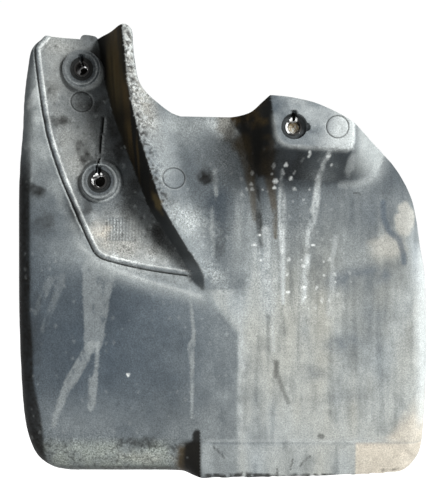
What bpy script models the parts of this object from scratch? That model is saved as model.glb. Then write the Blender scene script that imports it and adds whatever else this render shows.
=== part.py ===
"""Moulded rubber mud guard with three split steel screw collars.

The guard hangs behind a wheel: +Z is up, its screw side faces -Y and the vehicle
is on +Y. The origin is on the pad's screw axis, in the plane where the pad's rear
seat meets the vehicle. Sizes below are in millimetres and become metres at the end.
"""
import math

import bmesh
import bpy
import numpy as np
from mathutils import Vector
from mathutils.geometry import delaunay_2d_cdt

MM = 0.001

# ------------------------------------------------------------------ overall sizes
FLAP_WIDTH = 337.0        # left edge to right edge
FLAP_HEIGHT = 358.8       # bottom edge to the top of the flange
WALL = 3.5                # moulded wall, the same everywhere

# ------------------------------------------------------------------ levels, from the rolled edge up
PLATE_LEVEL = 24.0        # splash plate face
RIDGE_LEVEL = 55.0        # top end of the ridge
PAD_LEVEL = 60.0          # screw pad face
FLANGE_LEVEL = 8.0        # flange at the foot of the ridge, top end
ROLL_DEPTH = 19.0         # how far the edges roll back from the plate
ROLL_SIDE = 17.0          # width of the roll along the two sides
ROLL_FOOT = 26.0          # width of the roll along the bottom
LIP_DROP = 2.0            # how far the bottom lip leans back

# ------------------------------------------------------------------ sealing bead round the flange
BEAD_WIDTH = 3.8
BEAD_HEIGHT = 1.8
BEAD_SUNK = 1.2           # how deep the bead's section reaches into the wall

# ------------------------------------------------------------------ screw points
COLLAR_BORE = 9.5         # room for the screw
COLLAR_WALL = 1.1
COLLAR_FIT = 0.3          # gap between a collar and the rubber round it
COLLAR_PROUD = 0.7        # collar above the washer seat
COLLAR_SPLIT = 2.2
SLOT_WIDTH = 3.0          # relief slot above each hole
SLOT_REACH = 11.6         # from the hole's axis to the slot's end

UPPER_BOSS_D = 31.5
UPPER_BOSS_LEVEL = 21.0
UPPER_SEAT_LEVEL = 3.0
LOWER_BASE_D = 35.6
LOWER_BASE_LEVEL = 21.0
LOWER_RING_D = 28.0
LOWER_RING_LEVEL = 26.0
LOWER_SEAT_LEVEL = 11.0
BOSS_DISH_D = 19.0        # washer seat of the two flange bosses
BOSS_DISH_DEPTH = 1.4
PAD_DISH_D = 19.0         # washer seat of the pad
PAD_DISH_DEPTH = 4.5
PAD_NOTCH_D = 6.0
PAD_REAR_D = 26.0         # solid boss behind the pad
PAD_REAR_DEPTH = 10.5     # pad face to rear seat

# ------------------------------------------------------------------ mesh
OUTLINE_STEP = 8.0
SURFACE_TOLERANCE = 0.6
SHORTEST_EDGE = 6.0

# The plan below is drawn for a guard of 337 x 358.8 and follows the two overall sizes.
SX = FLAP_WIDTH / 337.0
SZ = FLAP_HEIGHT / 358.8

UPPER_HOLE = (-114.0 * SX, 146.0 * SZ)
LOWER_HOLE = (-99.0 * SX, 55.0 * SZ)
PAD_HOLE = (53.0 * SX, 92.0 * SZ)
SEAT_LEVEL = PAD_LEVEL - PAD_REAR_DEPTH
BORE_D = COLLAR_BORE + 2 * COLLAR_WALL + 2 * COLLAR_FIT

# Outline, anticlockwise seen from the front. Each run is a smooth curve through its
# points, and the outline has a corner where one run ends and the next begins.
OUTLINE_RUNS = [
    [(-141.5, 171.2), (-145.2, 169.2), (-149, 166.6), (-152.6, 163.4), (-155.4, 159.8), (-157.2, 155.4), (-158.2, 151),
     (-159.6, 143), (-161.8, 130), (-163.6, 117), (-165.0, 101), (-166.6, 84), (-167.9, 66),
     (-168.6, 40), (-168.6, -20), (-168, -70), (-166.2, -110), (-164, -136),
     (-160.3, -154), (-153, -169.5), (-141, -178.8), (-126, -181.9)],
    [(-126, -181.9), (-42, -182.1), (-20, -182.8), (36, -182.2)],
    [(36, -182.2), (96, -180.6), (136, -178.4), (151.5, -176.6), (159.4, -171.6), (163.3, -163),
     (165.2, -148), (167.2, -120), (168.2, -80), (167.6, -41), (166.2, -17), (162.4, 3),
     (157.7, 23), (152, 40), (143.8, 56), (134.5, 69.6), (125, 79)],
    [(125, 79), (112, 87), (98, 94.6), (88, 100.6), (78.5, 105.3), (66.5, 110), (50, 113.6),
     (35, 115.2)],
    [(35, 115.2), (29.7, 111.8), (22, 107), (13, 106)],
    [(13, 106), (-34, 106.9)],
    [(-34, 106.9), (-42, 109.9), (-52, 116.4), (-60.5, 123.2), (-65.5, 131), (-67.6, 142),
     (-69.2, 156), (-69.7, 165.6), (-71, 169.6), (-74, 171.3), (-77.4, 170.9)],
    [(-77.4, 170.9), (-87, 171.4), (-98, 173.6), (-104, 174)],
    [(-104, 174), (-105.5, 176), (-114, 175.6), (-116.5, 171.8)],
    [(-116.5, 171.8), (-129, 171.2), (-141.5, 171.2)],
]

# Lines of the relief: (x, z, level). The ends run on past the outline.
FLANGE_EDGE = [(-124, 195, 0), (-143.2, 171, 0), (-150.6, 163.2, 0), (-149.6, 150, 0),
               (-147, 131, 0), (-143.2, 105, 0), (-138.7, 85, 0), (-131.2, 62.5, 0),
               (-123.6, 43.6, 0), (-115.2, 23.8, 0), (-105, 1.8, 0), (-99, -6.6, 0),
               (-82.5, -15.5, 0), (-50, -24, 0), (-15.6, -33.6, 0)]
RIDGE_FOOT = [(-107, 200, FLANGE_LEVEL), (-103.5, 173, FLANGE_LEVEL), (-98, 140, FLANGE_LEVEL + 1),
              (-91, 113, FLANGE_LEVEL + 3), (-81, 86.5, FLANGE_LEVEL + 5),
              (-71, 61, FLANGE_LEVEL + 7), (-61.5, 37, FLANGE_LEVEL + 9),
              (-47, 13.5, FLANGE_LEVEL + 10), (-35, -4, FLANGE_LEVEL + 11),
              (-27.5, -15.5, FLANGE_LEVEL + 11.5), (-22.5, -24.5, FLANGE_LEVEL + 12),
              (-15.6, -33.6, PLATE_LEVEL)]
RIDGE_RISE = (RIDGE_LEVEL - PLATE_LEVEL) / 31.0
RIDGE_CREST = [(-79, 200, PLATE_LEVEL + 32 * RIDGE_RISE), (-76.3, 170, RIDGE_LEVEL),
               (-73.5, 131, PLATE_LEVEL + 28 * RIDGE_RISE),
               (-71, 115, PLATE_LEVEL + 26 * RIDGE_RISE), (-64.3, 87, PLATE_LEVEL + 22 * RIDGE_RISE),
               (-56.5, 62, PLATE_LEVEL + 18 * RIDGE_RISE), (-48.3, 36, PLATE_LEVEL + 14 * RIDGE_RISE),
               (-39.5, 20, PLATE_LEVEL + 11 * RIDGE_RISE), (-27.5, 0, PLATE_LEVEL + 8 * RIDGE_RISE),
               (-19, -12, PLATE_LEVEL + 6 * RIDGE_RISE), (-15.3, -21, PLATE_LEVEL + 4 * RIDGE_RISE),
               (-15, -29, PLATE_LEVEL + 2 * RIDGE_RISE), (-15.6, -33.6, PLATE_LEVEL)]
SLOPE_FOOT = [(-46, 200, 0), (-43, 150, 0), (-39, 110, 0), (-36, 84, 0), (-31, 60, 0),
              (-23, 36, 0), (-14, 14, 0), (-6, -6, 0), (-2, -20, 0), (-4, -32, 0), (-15.6, -37, 0)]
PAD_FACE = [(34, 150, 0), (35.2, 115.2, 0), (37, 100, 0), (39.2, 86.5, 0), (41.2, 81.8, 0),
            (44.8, 78.8, 0), (50, 77.3, 0), (72, 75.8, 0), (93, 74.6, 0), (96.4, 76.2, 0),
            (97.6, 80, 0), (98, 95, 0), (98, 150, 0)]
PAD_FOOT = [(0, 150, 0), (4, 112, 0), (7, 100, 0), (11.5, 90.5, 0), (15.2, 82, 0), (18.8, 73, 0),
            (22.5, 64, 0), (28.5, 58.4, 0), (37, 55.8, 0), (50, 54.8, 0), (86, 53.8, 0),
            (108, 54.4, 0), (118, 57.4, 0), (125, 64, 0), (128, 73, 0), (128.6, 82, 0),
            (131, 150, 0)]
BEAD_PATH = [(-142.2, 168.8), (-143.2, 167.8), (-148.2, 162.4), (-147.2, 148), (-144.8, 130),
             (-140.9, 104), (-136.3, 85), (-128.9, 62.6), (-121.3, 43.9), (-113, 24.6),
             (-103.2, 3.4), (-100.6, -1), (-96.2, -4.6), (-83, -8.6), (-57, -14.2), (-27, -18.6)]


def scaled(points):
    return [(p[0] * SX, p[1] * SZ) + tuple(p[2:]) for p in points]


def smooth_run(points, step):
    """Points along a smooth curve through the given ones, about one step apart."""
    pts = [Vector(p) for p in points]
    if len(pts) == 2:
        pts = [pts[0], (pts[0] * 2 + pts[1]) / 3, (pts[0] + pts[1] * 2) / 3, pts[1]]
    out = []
    for i in range(len(pts) - 1):
        a = pts[max(i - 1, 0)]
        b = pts[i]
        c = pts[i + 1]
        d = pts[min(i + 2, len(pts) - 1)]
        count = max(1, round((c - b).length / step))
        for k in range(count):
            t = k / count
            point = 0.5 * (2 * b + (c - a) * t + (2 * a - 5 * b + 4 * c - d) * t * t
                           + (3 * b - a - 3 * c + d) * t * t * t)
            out.append((point.x, point.y))
    return out


def outline(step):
    loop = []
    for run in OUTLINE_RUNS:
        loop += smooth_run(scaled(run), step)
    return loop


# ------------------------------------------------------------------ the relief as a height over the plan
def along(q, line):
    """Distance from each plan point to a line, and the line's level at the nearest place."""
    rows = np.array(line, float)
    a = rows[:-1]
    b = rows[1:]
    d = b[:, :2] - a[:, :2]
    rel = q[:, None, :] - a[None, :, :2]
    t = np.clip((rel * d).sum(2) / (d * d).sum(1), 0.0, 1.0)
    gap = np.sqrt(((rel - t[:, :, None] * d) ** 2).sum(2))
    k = gap.argmin(1)
    n = np.arange(len(q))
    return gap[n, k], a[k, 2] + t[n, k] * (b[k, 2] - a[k, 2])


def inside(q, polygon):
    loop = np.array([p[:2] for p in polygon], float)
    nxt = np.roll(loop, -1, axis=0)
    x = q[:, 0][:, None]
    z = q[:, 1][:, None]
    straddles = (loop[:, 1] > z) != (nxt[:, 1] > z)
    rise = np.where(nxt[:, 1] == loop[:, 1], 1e-9, nxt[:, 1] - loop[:, 1])
    cross = loop[:, 0] + (z - loop[:, 1]) * (nxt[:, 0] - loop[:, 0]) / rise
    return (np.logical_and(straddles, x < cross).sum(1) % 2) == 1


def smoothstep(t):
    t = np.clip(t, 0.0, 1.0)
    return t * t * (3 - 2 * t)


def roll_lines():
    """The outline with the roll's width and depth at each of its points."""
    loop = outline(4.0)
    loop.append(loop[0])
    p = np.array(loop)
    x = p[:, 0] / SX
    z = p[:, 1] / SZ
    left = smoothstep((-100 - x) / 30)
    bottom = smoothstep((-165 - z) / 12)
    width = ROLL_SIDE + (ROLL_FOOT - ROLL_SIDE) * bottom * smoothstep((x + 168) / 40)
    width = width * (1 - 0.4 * smoothstep((z - 110) / 50))
    depth = left * (1 - 0.45 * smoothstep((z - 90) / 60)) * (1 - smoothstep((z - 150) / 22))
    depth = np.maximum(depth, bottom * (1 - smoothstep((x + 35) / 20)))
    depth = np.maximum(depth, smoothstep((x - 138) / 26) * (1 - smoothstep((z + 10) / 80)))
    depth = np.where((z > 70) & (x > -140), 0.0, depth)
    wide = [(a, b, c) for (a, b), c in zip(loop, width)]
    deep = [(a, b, c * ROLL_DEPTH) for (a, b), c in zip(loop, depth)]
    return wide, deep


ROLL_WIDE, ROLL_DEEP = roll_lines()
PLAN = {
    "edge": scaled(FLANGE_EDGE), "foot": scaled(RIDGE_FOOT), "crest": scaled(RIDGE_CREST),
    "slope": scaled(SLOPE_FOOT), "face": scaled(PAD_FACE), "base": scaled(PAD_FOOT),
}


def plate(q):
    """The splash plate: level, with rolled edges and a bottom lip that leans back."""
    gap, width = along(q, ROLL_WIDE)
    depth = along(q, ROLL_DEEP)[1]
    u = np.clip(1 - gap / width, 0.0, 1.0)
    drop = depth * (1 - np.sqrt(1 - 0.985 * u * u)) / (1 - math.sqrt(0.015))
    lean = LIP_DROP * np.clip((-154 * SZ - q[:, 1]) / (27 * SZ), 0.0, 1.0)
    return PLATE_LEVEL - drop - lean * smoothstep((q[:, 0] / SX + 20) / 12)


def front(q):
    """Level of the front surface at each plan point."""
    q = np.asarray(q, float)
    level = plate(q)
    edge, foot, crest = PLAN["edge"], PLAN["foot"], PLAN["crest"]
    slope, face, base = PLAN["slope"], PLAN["face"], PLAN["base"]
    to_foot, foot_level = along(q, foot)
    to_crest, crest_level = along(q, crest)
    where = inside(q, edge + foot[::-1])
    t = along(q, edge)[0]
    t = t / (t + to_foot + 1e-9)
    level = np.where(where, level + (foot_level - level) * t, level)
    where = inside(q, foot + crest[::-1])
    t = to_foot / (to_foot + to_crest + 1e-9)
    level = np.where(where, foot_level + (crest_level - foot_level) * t ** 1.12, level)
    where = inside(q, crest + slope[::-1])
    t = along(q, slope)[0]
    t = t / (t + to_crest + 1e-9)
    level = np.where(where, PLATE_LEVEL + (crest_level - PLATE_LEVEL) * t ** 1.45, level)
    in_base = inside(q, base)
    in_face = inside(q, face)
    t = along(q, base)[0]
    t = t / (t + along(q, face)[0] + 1e-9)
    level = np.where(in_base, PLATE_LEVEL + (PAD_LEVEL - PLATE_LEVEL) * t ** 1.25, level)
    return np.where(in_face, PAD_LEVEL, level)


# ------------------------------------------------------------------ placing and small builders
def place(x, z, level):
    """Plan position and level, in millimetres, to the part's frame, in metres."""
    return Vector(((x - PAD_HOLE[0]) * MM, (SEAT_LEVEL - level) * MM, (z - PAD_HOLE[1]) * MM))


def collection(name):
    made = bpy.data.collections.new(name)
    bpy.context.scene.collection.children.link(made)
    return made


def material(name, colour, roughness, metallic):
    made = bpy.data.materials.new(name)
    made.use_nodes = True
    shader = made.node_tree.nodes["Principled BSDF"]
    shader.inputs["Base Color"].default_value = (*colour, 1.0)
    shader.inputs["Roughness"].default_value = roughness
    shader.inputs["Metallic"].default_value = metallic
    made.diffuse_color = (*colour, 1.0)
    return made


def move_to(target, ob):
    for old in list(ob.users_collection):
        old.objects.unlink(ob)
    target.objects.link(ob)


def as_cutter(ob):
    ob.hide_render = True
    ob.display_type = 'WIRE'
    move_to(CUTTERS, ob)
    return ob


def cylinder(name, centre, low, high, diameter, sides=48):
    """A cylinder along Y between two levels."""
    bpy.ops.mesh.primitive_cylinder_add(
        vertices=sides, radius=diameter / 2 * MM, depth=(high - low) * MM,
        location=place(centre[0], centre[1], (high + low) / 2), rotation=(math.pi / 2, 0, 0))
    ob = bpy.context.object
    ob.name = name
    return ob


def block(name, x_range, z_range, low, high):
    size = ((x_range[1] - x_range[0]) * MM, (high - low) * MM, (z_range[1] - z_range[0]) * MM)
    bpy.ops.mesh.primitive_cube_add(
        size=1, location=place(sum(x_range) / 2, sum(z_range) / 2, (low + high) / 2))
    ob = bpy.context.object
    ob.name = name
    for vertex in ob.data.vertices:
        vertex.co = Vector(a * b for a, b in zip(vertex.co, size))
    return ob


def boolean(ob, other, operation):
    made = ob.modifiers.new(f"{operation.lower()}_{other.name}", 'BOOLEAN')
    made.operation = operation
    made.solver = 'EXACT'
    made.object = other
    return made


def triangulate(points, edges):
    verts, _, faces, *_ = delaunay_2d_cdt([Vector(p) for p in points], edges, [], 0, 1e-4)
    return np.array([(v.x, v.y) for v in verts]), np.array(faces)


def surface(step, tolerance, shortest, rounds):
    """Open front surface: the outline and relief lines, refined where the relief bends."""
    loop = outline(step)
    points = list(loop)
    edges = [(i, (i + 1) % len(loop)) for i in range(len(loop))]
    for key in ("edge", "foot", "crest", "slope", "face", "base"):
        line = []
        rows = PLAN[key]
        for a, b in zip(rows[:-1], rows[1:]):
            count = max(1, round(math.dist(a[:2], b[:2]) / (2 * step)))
            line += [(a[0] + (b[0] - a[0]) * k / count, a[1] + (b[1] - a[1]) * k / count)
                     for k in range(count)]
        line.append(rows[-1][:2])
        first = len(points)
        points += line
        edges += [(first + k, first + k + 1) for k in range(len(line) - 1)]
    wide = along(np.array(loop), ROLL_WIDE)[1]
    deep = along(np.array(loop), ROLL_DEEP)[1]
    for k in range(len(loop)):
        if deep[k] > 0.4:
            before = Vector(loop[k - 1])
            after = Vector(loop[(k + 1) % len(loop)])
            inward = (after - before).normalized()
            inward = Vector((-inward.y, inward.x))
            for inset in (0.1, 0.32, 0.62, 1.0):
                spot = Vector(loop[k]) + inward * wide[k] * inset
                points.append((spot.x, spot.y))
    for _ in range(rounds):
        plan, faces = triangulate(points, edges)
        centre = plan[faces].mean(1)
        faces = faces[inside(centre, loop)]
        level = front(plan)
        pairs = np.vstack([faces[:, [0, 1]], faces[:, [1, 2]], faces[:, [2, 0]]])
        pairs = np.unique(np.sort(pairs, axis=1), axis=0)
        middle = plan[pairs].mean(1)
        length = np.linalg.norm(plan[pairs[:, 0]] - plan[pairs[:, 1]], axis=1)
        to_edge = along(middle, [(x, z, 0) for x, z in loop + loop[:1]])[0]
        error = np.abs(front(middle) - level[pairs].mean(1))
        extra = middle[(error > tolerance) & (length > shortest) & (to_edge > 1.0)]
        centre = plan[faces].mean(1)
        error = np.abs(front(centre) - level[faces].mean(1))
        size = np.linalg.norm(plan[faces[:, 0]] - plan[faces[:, 1]], axis=1)
        extra = np.vstack([extra, centre[(error > tolerance) & (size > shortest)]])
        if not len(extra):
            break
        points += [tuple(p) for p in extra]
    plan, faces = triangulate(points, edges)
    faces = faces[inside(plan[faces].mean(1), loop)]
    used = np.unique(faces)
    index = {old: new for new, old in enumerate(used)}
    plan = plan[used]
    level = front(plan)
    verts = [place(x, z, y) for (x, z), y in zip(plan, level)]
    return verts, [tuple(index[v] for v in face) for face in faces]


def strip(name, path, width, low, high):
    """A bar that follows the front surface: a flat ribbon along the path, thickened."""
    points = smooth_run(scaled(path), 9.0)
    points.append(scaled(path)[-1])
    bm = bmesh.new()
    rows = []
    for i, point in enumerate(points):
        before = Vector(points[max(i - 1, 0)])
        after = Vector(points[min(i + 1, len(points) - 1)])
        side = (after - before).normalized()
        side = Vector((-side.y, side.x)) * width / 2
        level = front(np.array([point]))[0]
        row = []
        for sign in (-1, 1):
            spot = Vector(point) + side * sign
            row.append(bm.verts.new(place(spot.x, spot.y, level + high)))
        rows.append(row)
    for a, b in zip(rows[:-1], rows[1:]):
        bm.faces.new((a[0], b[0], b[1], a[1]))
    bmesh.ops.recalc_face_normals(bm, faces=bm.faces)
    mesh = bpy.data.meshes.new(name)
    bm.to_mesh(mesh)
    bm.free()
    if sum(p.normal.y for p in mesh.polygons) > 0:
        mesh.flip_normals()
    ob = bpy.data.objects.new(name, mesh)
    bpy.context.scene.collection.objects.link(ob)
    thick = ob.modifiers.new("thickness", 'SOLIDIFY')
    thick.thickness = (high - low) * MM
    thick.offset = -1
    soft = ob.modifiers.new("rounded", 'BEVEL')
    soft.width = 0.5 * MM
    soft.segments = 1
    soft.limit_method = 'ANGLE'
    soft.angle_limit = math.radians(50)
    return ob


# ------------------------------------------------------------------ model
for old in list(bpy.data.objects):
    bpy.data.objects.remove(old, do_unlink=True)

GUARD = collection("mud_flap")
CUTTERS = collection("cutters")
root = bpy.data.objects.new("mud_flap_frame", None)
GUARD.objects.link(root)

rubber = material("moulded_rubber", (0.055, 0.062, 0.070), 0.62, 0.0)
steel = material("zinc_plated_steel", (0.62, 0.61, 0.58), 0.35, 1.0)

# The guard's shell: an open surface thickened toward the vehicle.
verts, faces = surface(OUTLINE_STEP, SURFACE_TOLERANCE, SHORTEST_EDGE, 4)
shell = bpy.data.meshes.new("flap_body")
shell.from_pydata(verts, [], faces)
shell.update()
if sum(p.normal.y for p in shell.polygons) > 0:
    shell.flip_normals()
flap = bpy.data.objects.new("flap_body", shell)
GUARD.objects.link(flap)
flap.data.materials.append(rubber)
thickness = flap.modifiers.new("wall", 'SOLIDIFY')
thickness.thickness = WALL * MM
thickness.offset = -1
thickness.use_even_offset = True
thickness.use_quality_normals = True

# Solid screw bosses, joined to the shell.
upper_boss = cylinder("upper_boss", UPPER_HOLE, UPPER_SEAT_LEVEL, UPPER_BOSS_LEVEL, UPPER_BOSS_D)
lower_base = cylinder("lower_base", LOWER_HOLE, LOWER_SEAT_LEVEL, LOWER_BASE_LEVEL, LOWER_BASE_D)
lower_ring = cylinder("lower_ring", LOWER_HOLE, LOWER_SEAT_LEVEL + 2, LOWER_RING_LEVEL, LOWER_RING_D)
pad_boss = cylinder("pad_boss", PAD_HOLE, SEAT_LEVEL, PAD_LEVEL - 1, PAD_REAR_D)
bead = strip("bead", BEAD_PATH, BEAD_WIDTH, -BEAD_SUNK, BEAD_HEIGHT)
for solid in (upper_boss, lower_base, lower_ring, pad_boss, bead):
    as_cutter(solid)
    boolean(flap, solid, 'UNION')

# Washer seats, collar holes and relief slots.
ABOVE = 10.0
seats = (
    ("upper", UPPER_HOLE, UPPER_SEAT_LEVEL, UPPER_BOSS_LEVEL, BOSS_DISH_D, BOSS_DISH_DEPTH),
    ("lower", LOWER_HOLE, LOWER_SEAT_LEVEL, LOWER_RING_LEVEL, BOSS_DISH_D, BOSS_DISH_DEPTH),
    ("pad", PAD_HOLE, SEAT_LEVEL, PAD_LEVEL, PAD_DISH_D, PAD_DISH_DEPTH),
)
for name, hole, seat, top, dish_d, dish_depth in seats:
    dish = cylinder(f"{name}_dish", hole, top - dish_depth, top + ABOVE, dish_d)
    bore = cylinder(f"{name}_bore", hole, seat - ABOVE, top + ABOVE, BORE_D, 40)
    slot = block(f"{name}_slot", (hole[0] - SLOT_WIDTH / 2, hole[0] + SLOT_WIDTH / 2),
                 (hole[1], hole[1] + SLOT_REACH), seat - ABOVE, top + ABOVE)
    for tool in (dish, bore, slot):
        as_cutter(tool)
        boolean(flap, tool, 'DIFFERENCE')
notch_at = (PAD_HOLE[0] + PAD_DISH_D / 2 - 0.6, PAD_HOLE[1] - 0.5)
notch = cylinder("pad_notch", notch_at, PAD_LEVEL - PAD_DISH_DEPTH, PAD_LEVEL + ABOVE, PAD_NOTCH_D, 24)
as_cutter(notch)
boolean(flap, notch, 'DIFFERENCE')
flap.parent = root

# Split collars, one in each hole, rolled with the gap under the relief slot.
for name, hole, seat, top, dish_d, dish_depth in seats:
    high = top - dish_depth + COLLAR_PROUD
    collar_name = {"upper": "upper_flange_collar", "lower": "lower_flange_collar", "pad": "pad_collar"}[name]
    collar = cylinder(collar_name, hole, seat, high, COLLAR_BORE + 2 * COLLAR_WALL)
    move_to(GUARD, collar)
    collar.data.materials.append(steel)
    core = cylinder(f"{name}_collar_core", hole, seat - ABOVE, high + ABOVE, COLLAR_BORE)
    split = block(f"{name}_collar_split", (hole[0] - COLLAR_SPLIT / 2, hole[0] + COLLAR_SPLIT / 2),
                  (hole[1], hole[1] + COLLAR_BORE), seat - ABOVE, high + ABOVE)
    for tool in (core, split):
        as_cutter(tool)
        boolean(collar, tool, 'DIFFERENCE')
    collar.parent = root

for ob in GUARD.objects:
    if ob.type == 'MESH':
        ob.data.shade_smooth()
        ob.data.set_sharp_from_angle(angle=math.radians(32))
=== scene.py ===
"""Mud flap: the fine surface, its soiling and wear with painted shade and painted highlights, and the studio
round it.

The flap is a sheet over a plan, x to the right and z up, in millimetres. Each plan point has a level,
measured forward from a plane 3 mm behind the upper boss's rear seat. place() turns the three into the
frame's metres.
"""
import math

import bpy
import numpy as np
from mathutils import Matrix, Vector
from mathutils.geometry import delaunay_2d_cdt


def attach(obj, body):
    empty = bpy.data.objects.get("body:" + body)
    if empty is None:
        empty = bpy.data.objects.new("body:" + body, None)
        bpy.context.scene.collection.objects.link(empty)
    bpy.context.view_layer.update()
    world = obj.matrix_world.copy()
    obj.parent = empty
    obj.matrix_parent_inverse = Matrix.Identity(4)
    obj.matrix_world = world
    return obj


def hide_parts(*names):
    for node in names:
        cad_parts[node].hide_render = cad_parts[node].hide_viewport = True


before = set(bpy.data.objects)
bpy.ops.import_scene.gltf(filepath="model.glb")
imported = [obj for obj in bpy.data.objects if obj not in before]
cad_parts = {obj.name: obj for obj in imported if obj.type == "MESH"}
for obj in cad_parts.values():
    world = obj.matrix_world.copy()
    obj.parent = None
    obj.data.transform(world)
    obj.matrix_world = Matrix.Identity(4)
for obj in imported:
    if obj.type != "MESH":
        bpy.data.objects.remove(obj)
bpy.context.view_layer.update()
MM = 0.001

# ---- the CAD model's own sizes, in millimetres
WALL = 3.5
PLATE, PAD = 24.0, 60.0
ROLL_DEPTH, ROLL_SIDE, ROLL_FOOT = 19.0, 17.0, 26.0
UPPER, LOWER, PAD_HOLE = (-114.0, 146.0), (-99.0, 55.0), (53.0, 92.0)
PAD_REAR_DEPTH = 10.5
UPPER_REAR, LOWER_REAR, PAD_REAR = 3.0, 11.0, PAD - PAD_REAR_DEPTH
UPPER_SEAT, LOWER_SEAT = 21.0, 26.0
COLLAR_BORE, COLLAR_STRIP, COLLAR_FIT = 9.5, 1.1, 0.3
BORE_R = (COLLAR_BORE + 2 * COLLAR_STRIP + 2 * COLLAR_FIT) / 2
SLOT_W, SLOT_REACH = 3.0, 11.6
STAMP_R = 8.25
EAR = (PAD_HOLE[0] + 8.9, PAD_HOLE[1] - 0.5)
KNURL, KNURL_HALF, KNURL_PITCH = (-80.0, 16.5), (16.0, 10.0), (2.5, 2.6)

OUTLINE_RUNS = [
    [(-141.5, 171.2), (-145.2, 169.2), (-149, 166.6), (-152.6, 163.4), (-155.4, 159.8), (-157.2, 155.4),
     (-158.2, 151), (-159.6, 143), (-161.8, 130), (-163.6, 117), (-165.0, 101), (-166.6, 84), (-167.9, 66),
     (-168.6, 40), (-168.6, -20), (-168, -70), (-166.2, -110), (-164, -136),
     (-160.3, -154), (-153, -169.5), (-141, -178.8), (-126, -181.9)],
    [(-126, -181.9), (-42, -182.1), (-20, -182.8), (36, -182.2)],
    [(36, -182.2), (96, -180.6), (136, -178.4), (151.5, -176.6), (159.4, -171.6), (163.3, -163),
     (165.2, -148), (167.2, -120), (168.2, -80), (167.6, -41), (166.2, -17), (162.4, 3),
     (157.7, 23), (152, 40), (143.8, 56), (134.5, 69.6), (125, 79)],
    [(125, 79), (112, 87), (98, 94.6), (88, 100.6), (78.5, 105.3), (66.5, 110), (50, 113.6), (35, 115.2)],
    [(35, 115.2), (29.7, 111.8), (22, 107), (13, 106)],
    [(13, 106), (-34, 106.9)],
    [(-34, 106.9), (-42, 109.9), (-52, 116.4), (-60.5, 123.2), (-65.5, 131), (-67.6, 142),
     (-69.2, 156), (-69.7, 165.6), (-71, 169.6), (-74, 171.3), (-77.4, 170.9)],
    [(-77.4, 170.9), (-87, 171.4), (-98, 173.6), (-104, 174)],
    [(-104, 174), (-105.5, 176), (-114, 175.6), (-116.5, 171.8)],
    [(-116.5, 171.8), (-129, 171.2), (-141.5, 171.2)],
]
# the lines that part the flange, the ridge's wall and slope, and the pad; a third value is the level there
EDGE = [(-124, 195), (-143.2, 171), (-150.6, 163.2), (-149.6, 150), (-147, 131), (-143.2, 105), (-138.7, 85),
        (-131.2, 62.5), (-123.6, 43.6), (-115.2, 23.8), (-105, 1.8), (-99, -6.6), (-82.5, -15.5), (-50, -24),
        (-15.6, -33.6)]
FOOT = [(-107, 200, 8), (-103.5, 173, 8), (-98, 140, 9), (-91, 113, 11), (-81, 86.5, 13),
        (-71, 61, 15), (-61.5, 37, 17), (-47, 13.5, 18), (-35, -4, 19), (-27.5, -15.5, 19.5),
        (-22.5, -24.5, 20), (-15.6, -33.6, 24)]
CREST = [(-79, 200, 56), (-76.3, 170, 55), (-73.5, 131, 52), (-71, 115, 50), (-64.3, 87, 46),
         (-56.5, 62, 42), (-48.3, 36, 38), (-39.5, 20, 35), (-27.5, 0, 32), (-19, -12, 30),
         (-15.3, -21, 28), (-15, -29, 26), (-15.6, -33.6, 24)]
SLOPE = [(-46, 200), (-43, 150), (-39, 110), (-36, 84), (-31, 60), (-23, 36), (-14, 14), (-6, -6), (-2, -20),
         (-4, -32), (-15.6, -37)]
FACE = [(34, 150), (35.2, 115.2), (37, 100), (39.2, 86.5), (41.2, 81.8), (44.8, 78.8), (50, 77.3),
        (72, 75.8), (93, 74.6), (96.4, 76.2), (97.6, 80), (98, 95), (98, 150)]
BASE = [(0, 150), (4, 112), (7, 100), (11.5, 90.5), (15.2, 82), (18.8, 73), (22.5, 64), (28.5, 58.4),
        (37, 55.8), (50, 54.8), (86, 53.8), (108, 54.4), (118, 57.4), (125, 64), (128, 73), (128.6, 82),
        (131, 150)]
BEAD = [(-139.8, 172), (-141.2, 170.4), (-147.4, 163.9), (-148.5, 162.4), (-148.5, 160.2), (-147.2, 148),
        (-144.8, 130), (-140.9, 104), (-136.3, 85), (-128.9, 62.6), (-121.3, 43.9), (-113, 24.6),
        (-103.2, 3.4), (-100.6, -1), (-96.2, -4.6), (-83, -8.6), (-57, -14.2), (-27, -18.6)]
# what only the surface has
STAMPS = [(-115.0, 120.5), (-39.0, 57.0), (85.0, 91.5)]
TEARS = [[(-98.0, 108.0), (-98.6, 95.0)], [(-99.2, 93.2), (-100.0, 78.8)],
         [(-100.2, 74.0), (-101.4, 63.5), (-101.8, 60.0)]]
TRIANGLE = [(54.6, 20.6), (57.0, 25.6), (59.6, 20.6), (54.6, 20.6)]
LEDGE = [(-112, 2), (-100, -9.5), (-84, -17), (-60, -25), (-32, -33), (-18, -37.5)]


# ---- plan geometry
def smooth_run(points, step):
    """A Catmull-Rom curve through the points, without its last one."""
    pts = [Vector(p) for p in points]
    if len(pts) == 2:
        pts = [pts[0], (pts[0] * 2 + pts[1]) / 3, (pts[0] + pts[1] * 2) / 3, pts[1]]
    out = []
    for i in range(len(pts) - 1):
        a, b, c, d = pts[max(i - 1, 0)], pts[i], pts[i + 1], pts[min(i + 2, len(pts) - 1)]
        count = max(1, round((c - b).length / step))
        for k in range(count):
            t = k / count
            p = 0.5 * (2 * b + (c - a) * t + (2 * a - 5 * b + 4 * c - d) * t * t
                       + (3 * b - a - 3 * c + d) * t * t * t)
            out.append((p.x, p.y))
    return out


def outline(step):
    loop = []
    for run in OUTLINE_RUNS:
        loop += smooth_run(run, step)
    return loop


def shifted(line, gap):
    """The line moved sideways, to its left where the gap is positive."""
    pts = [Vector(p[:2]) for p in line]
    out = []
    for i, p in enumerate(pts):
        d = (pts[min(i + 1, len(pts) - 1)] - pts[max(i - 1, 0)]).normalized()
        out.append((p.x - d.y * gap, p.y + d.x * gap))
    return out


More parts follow.
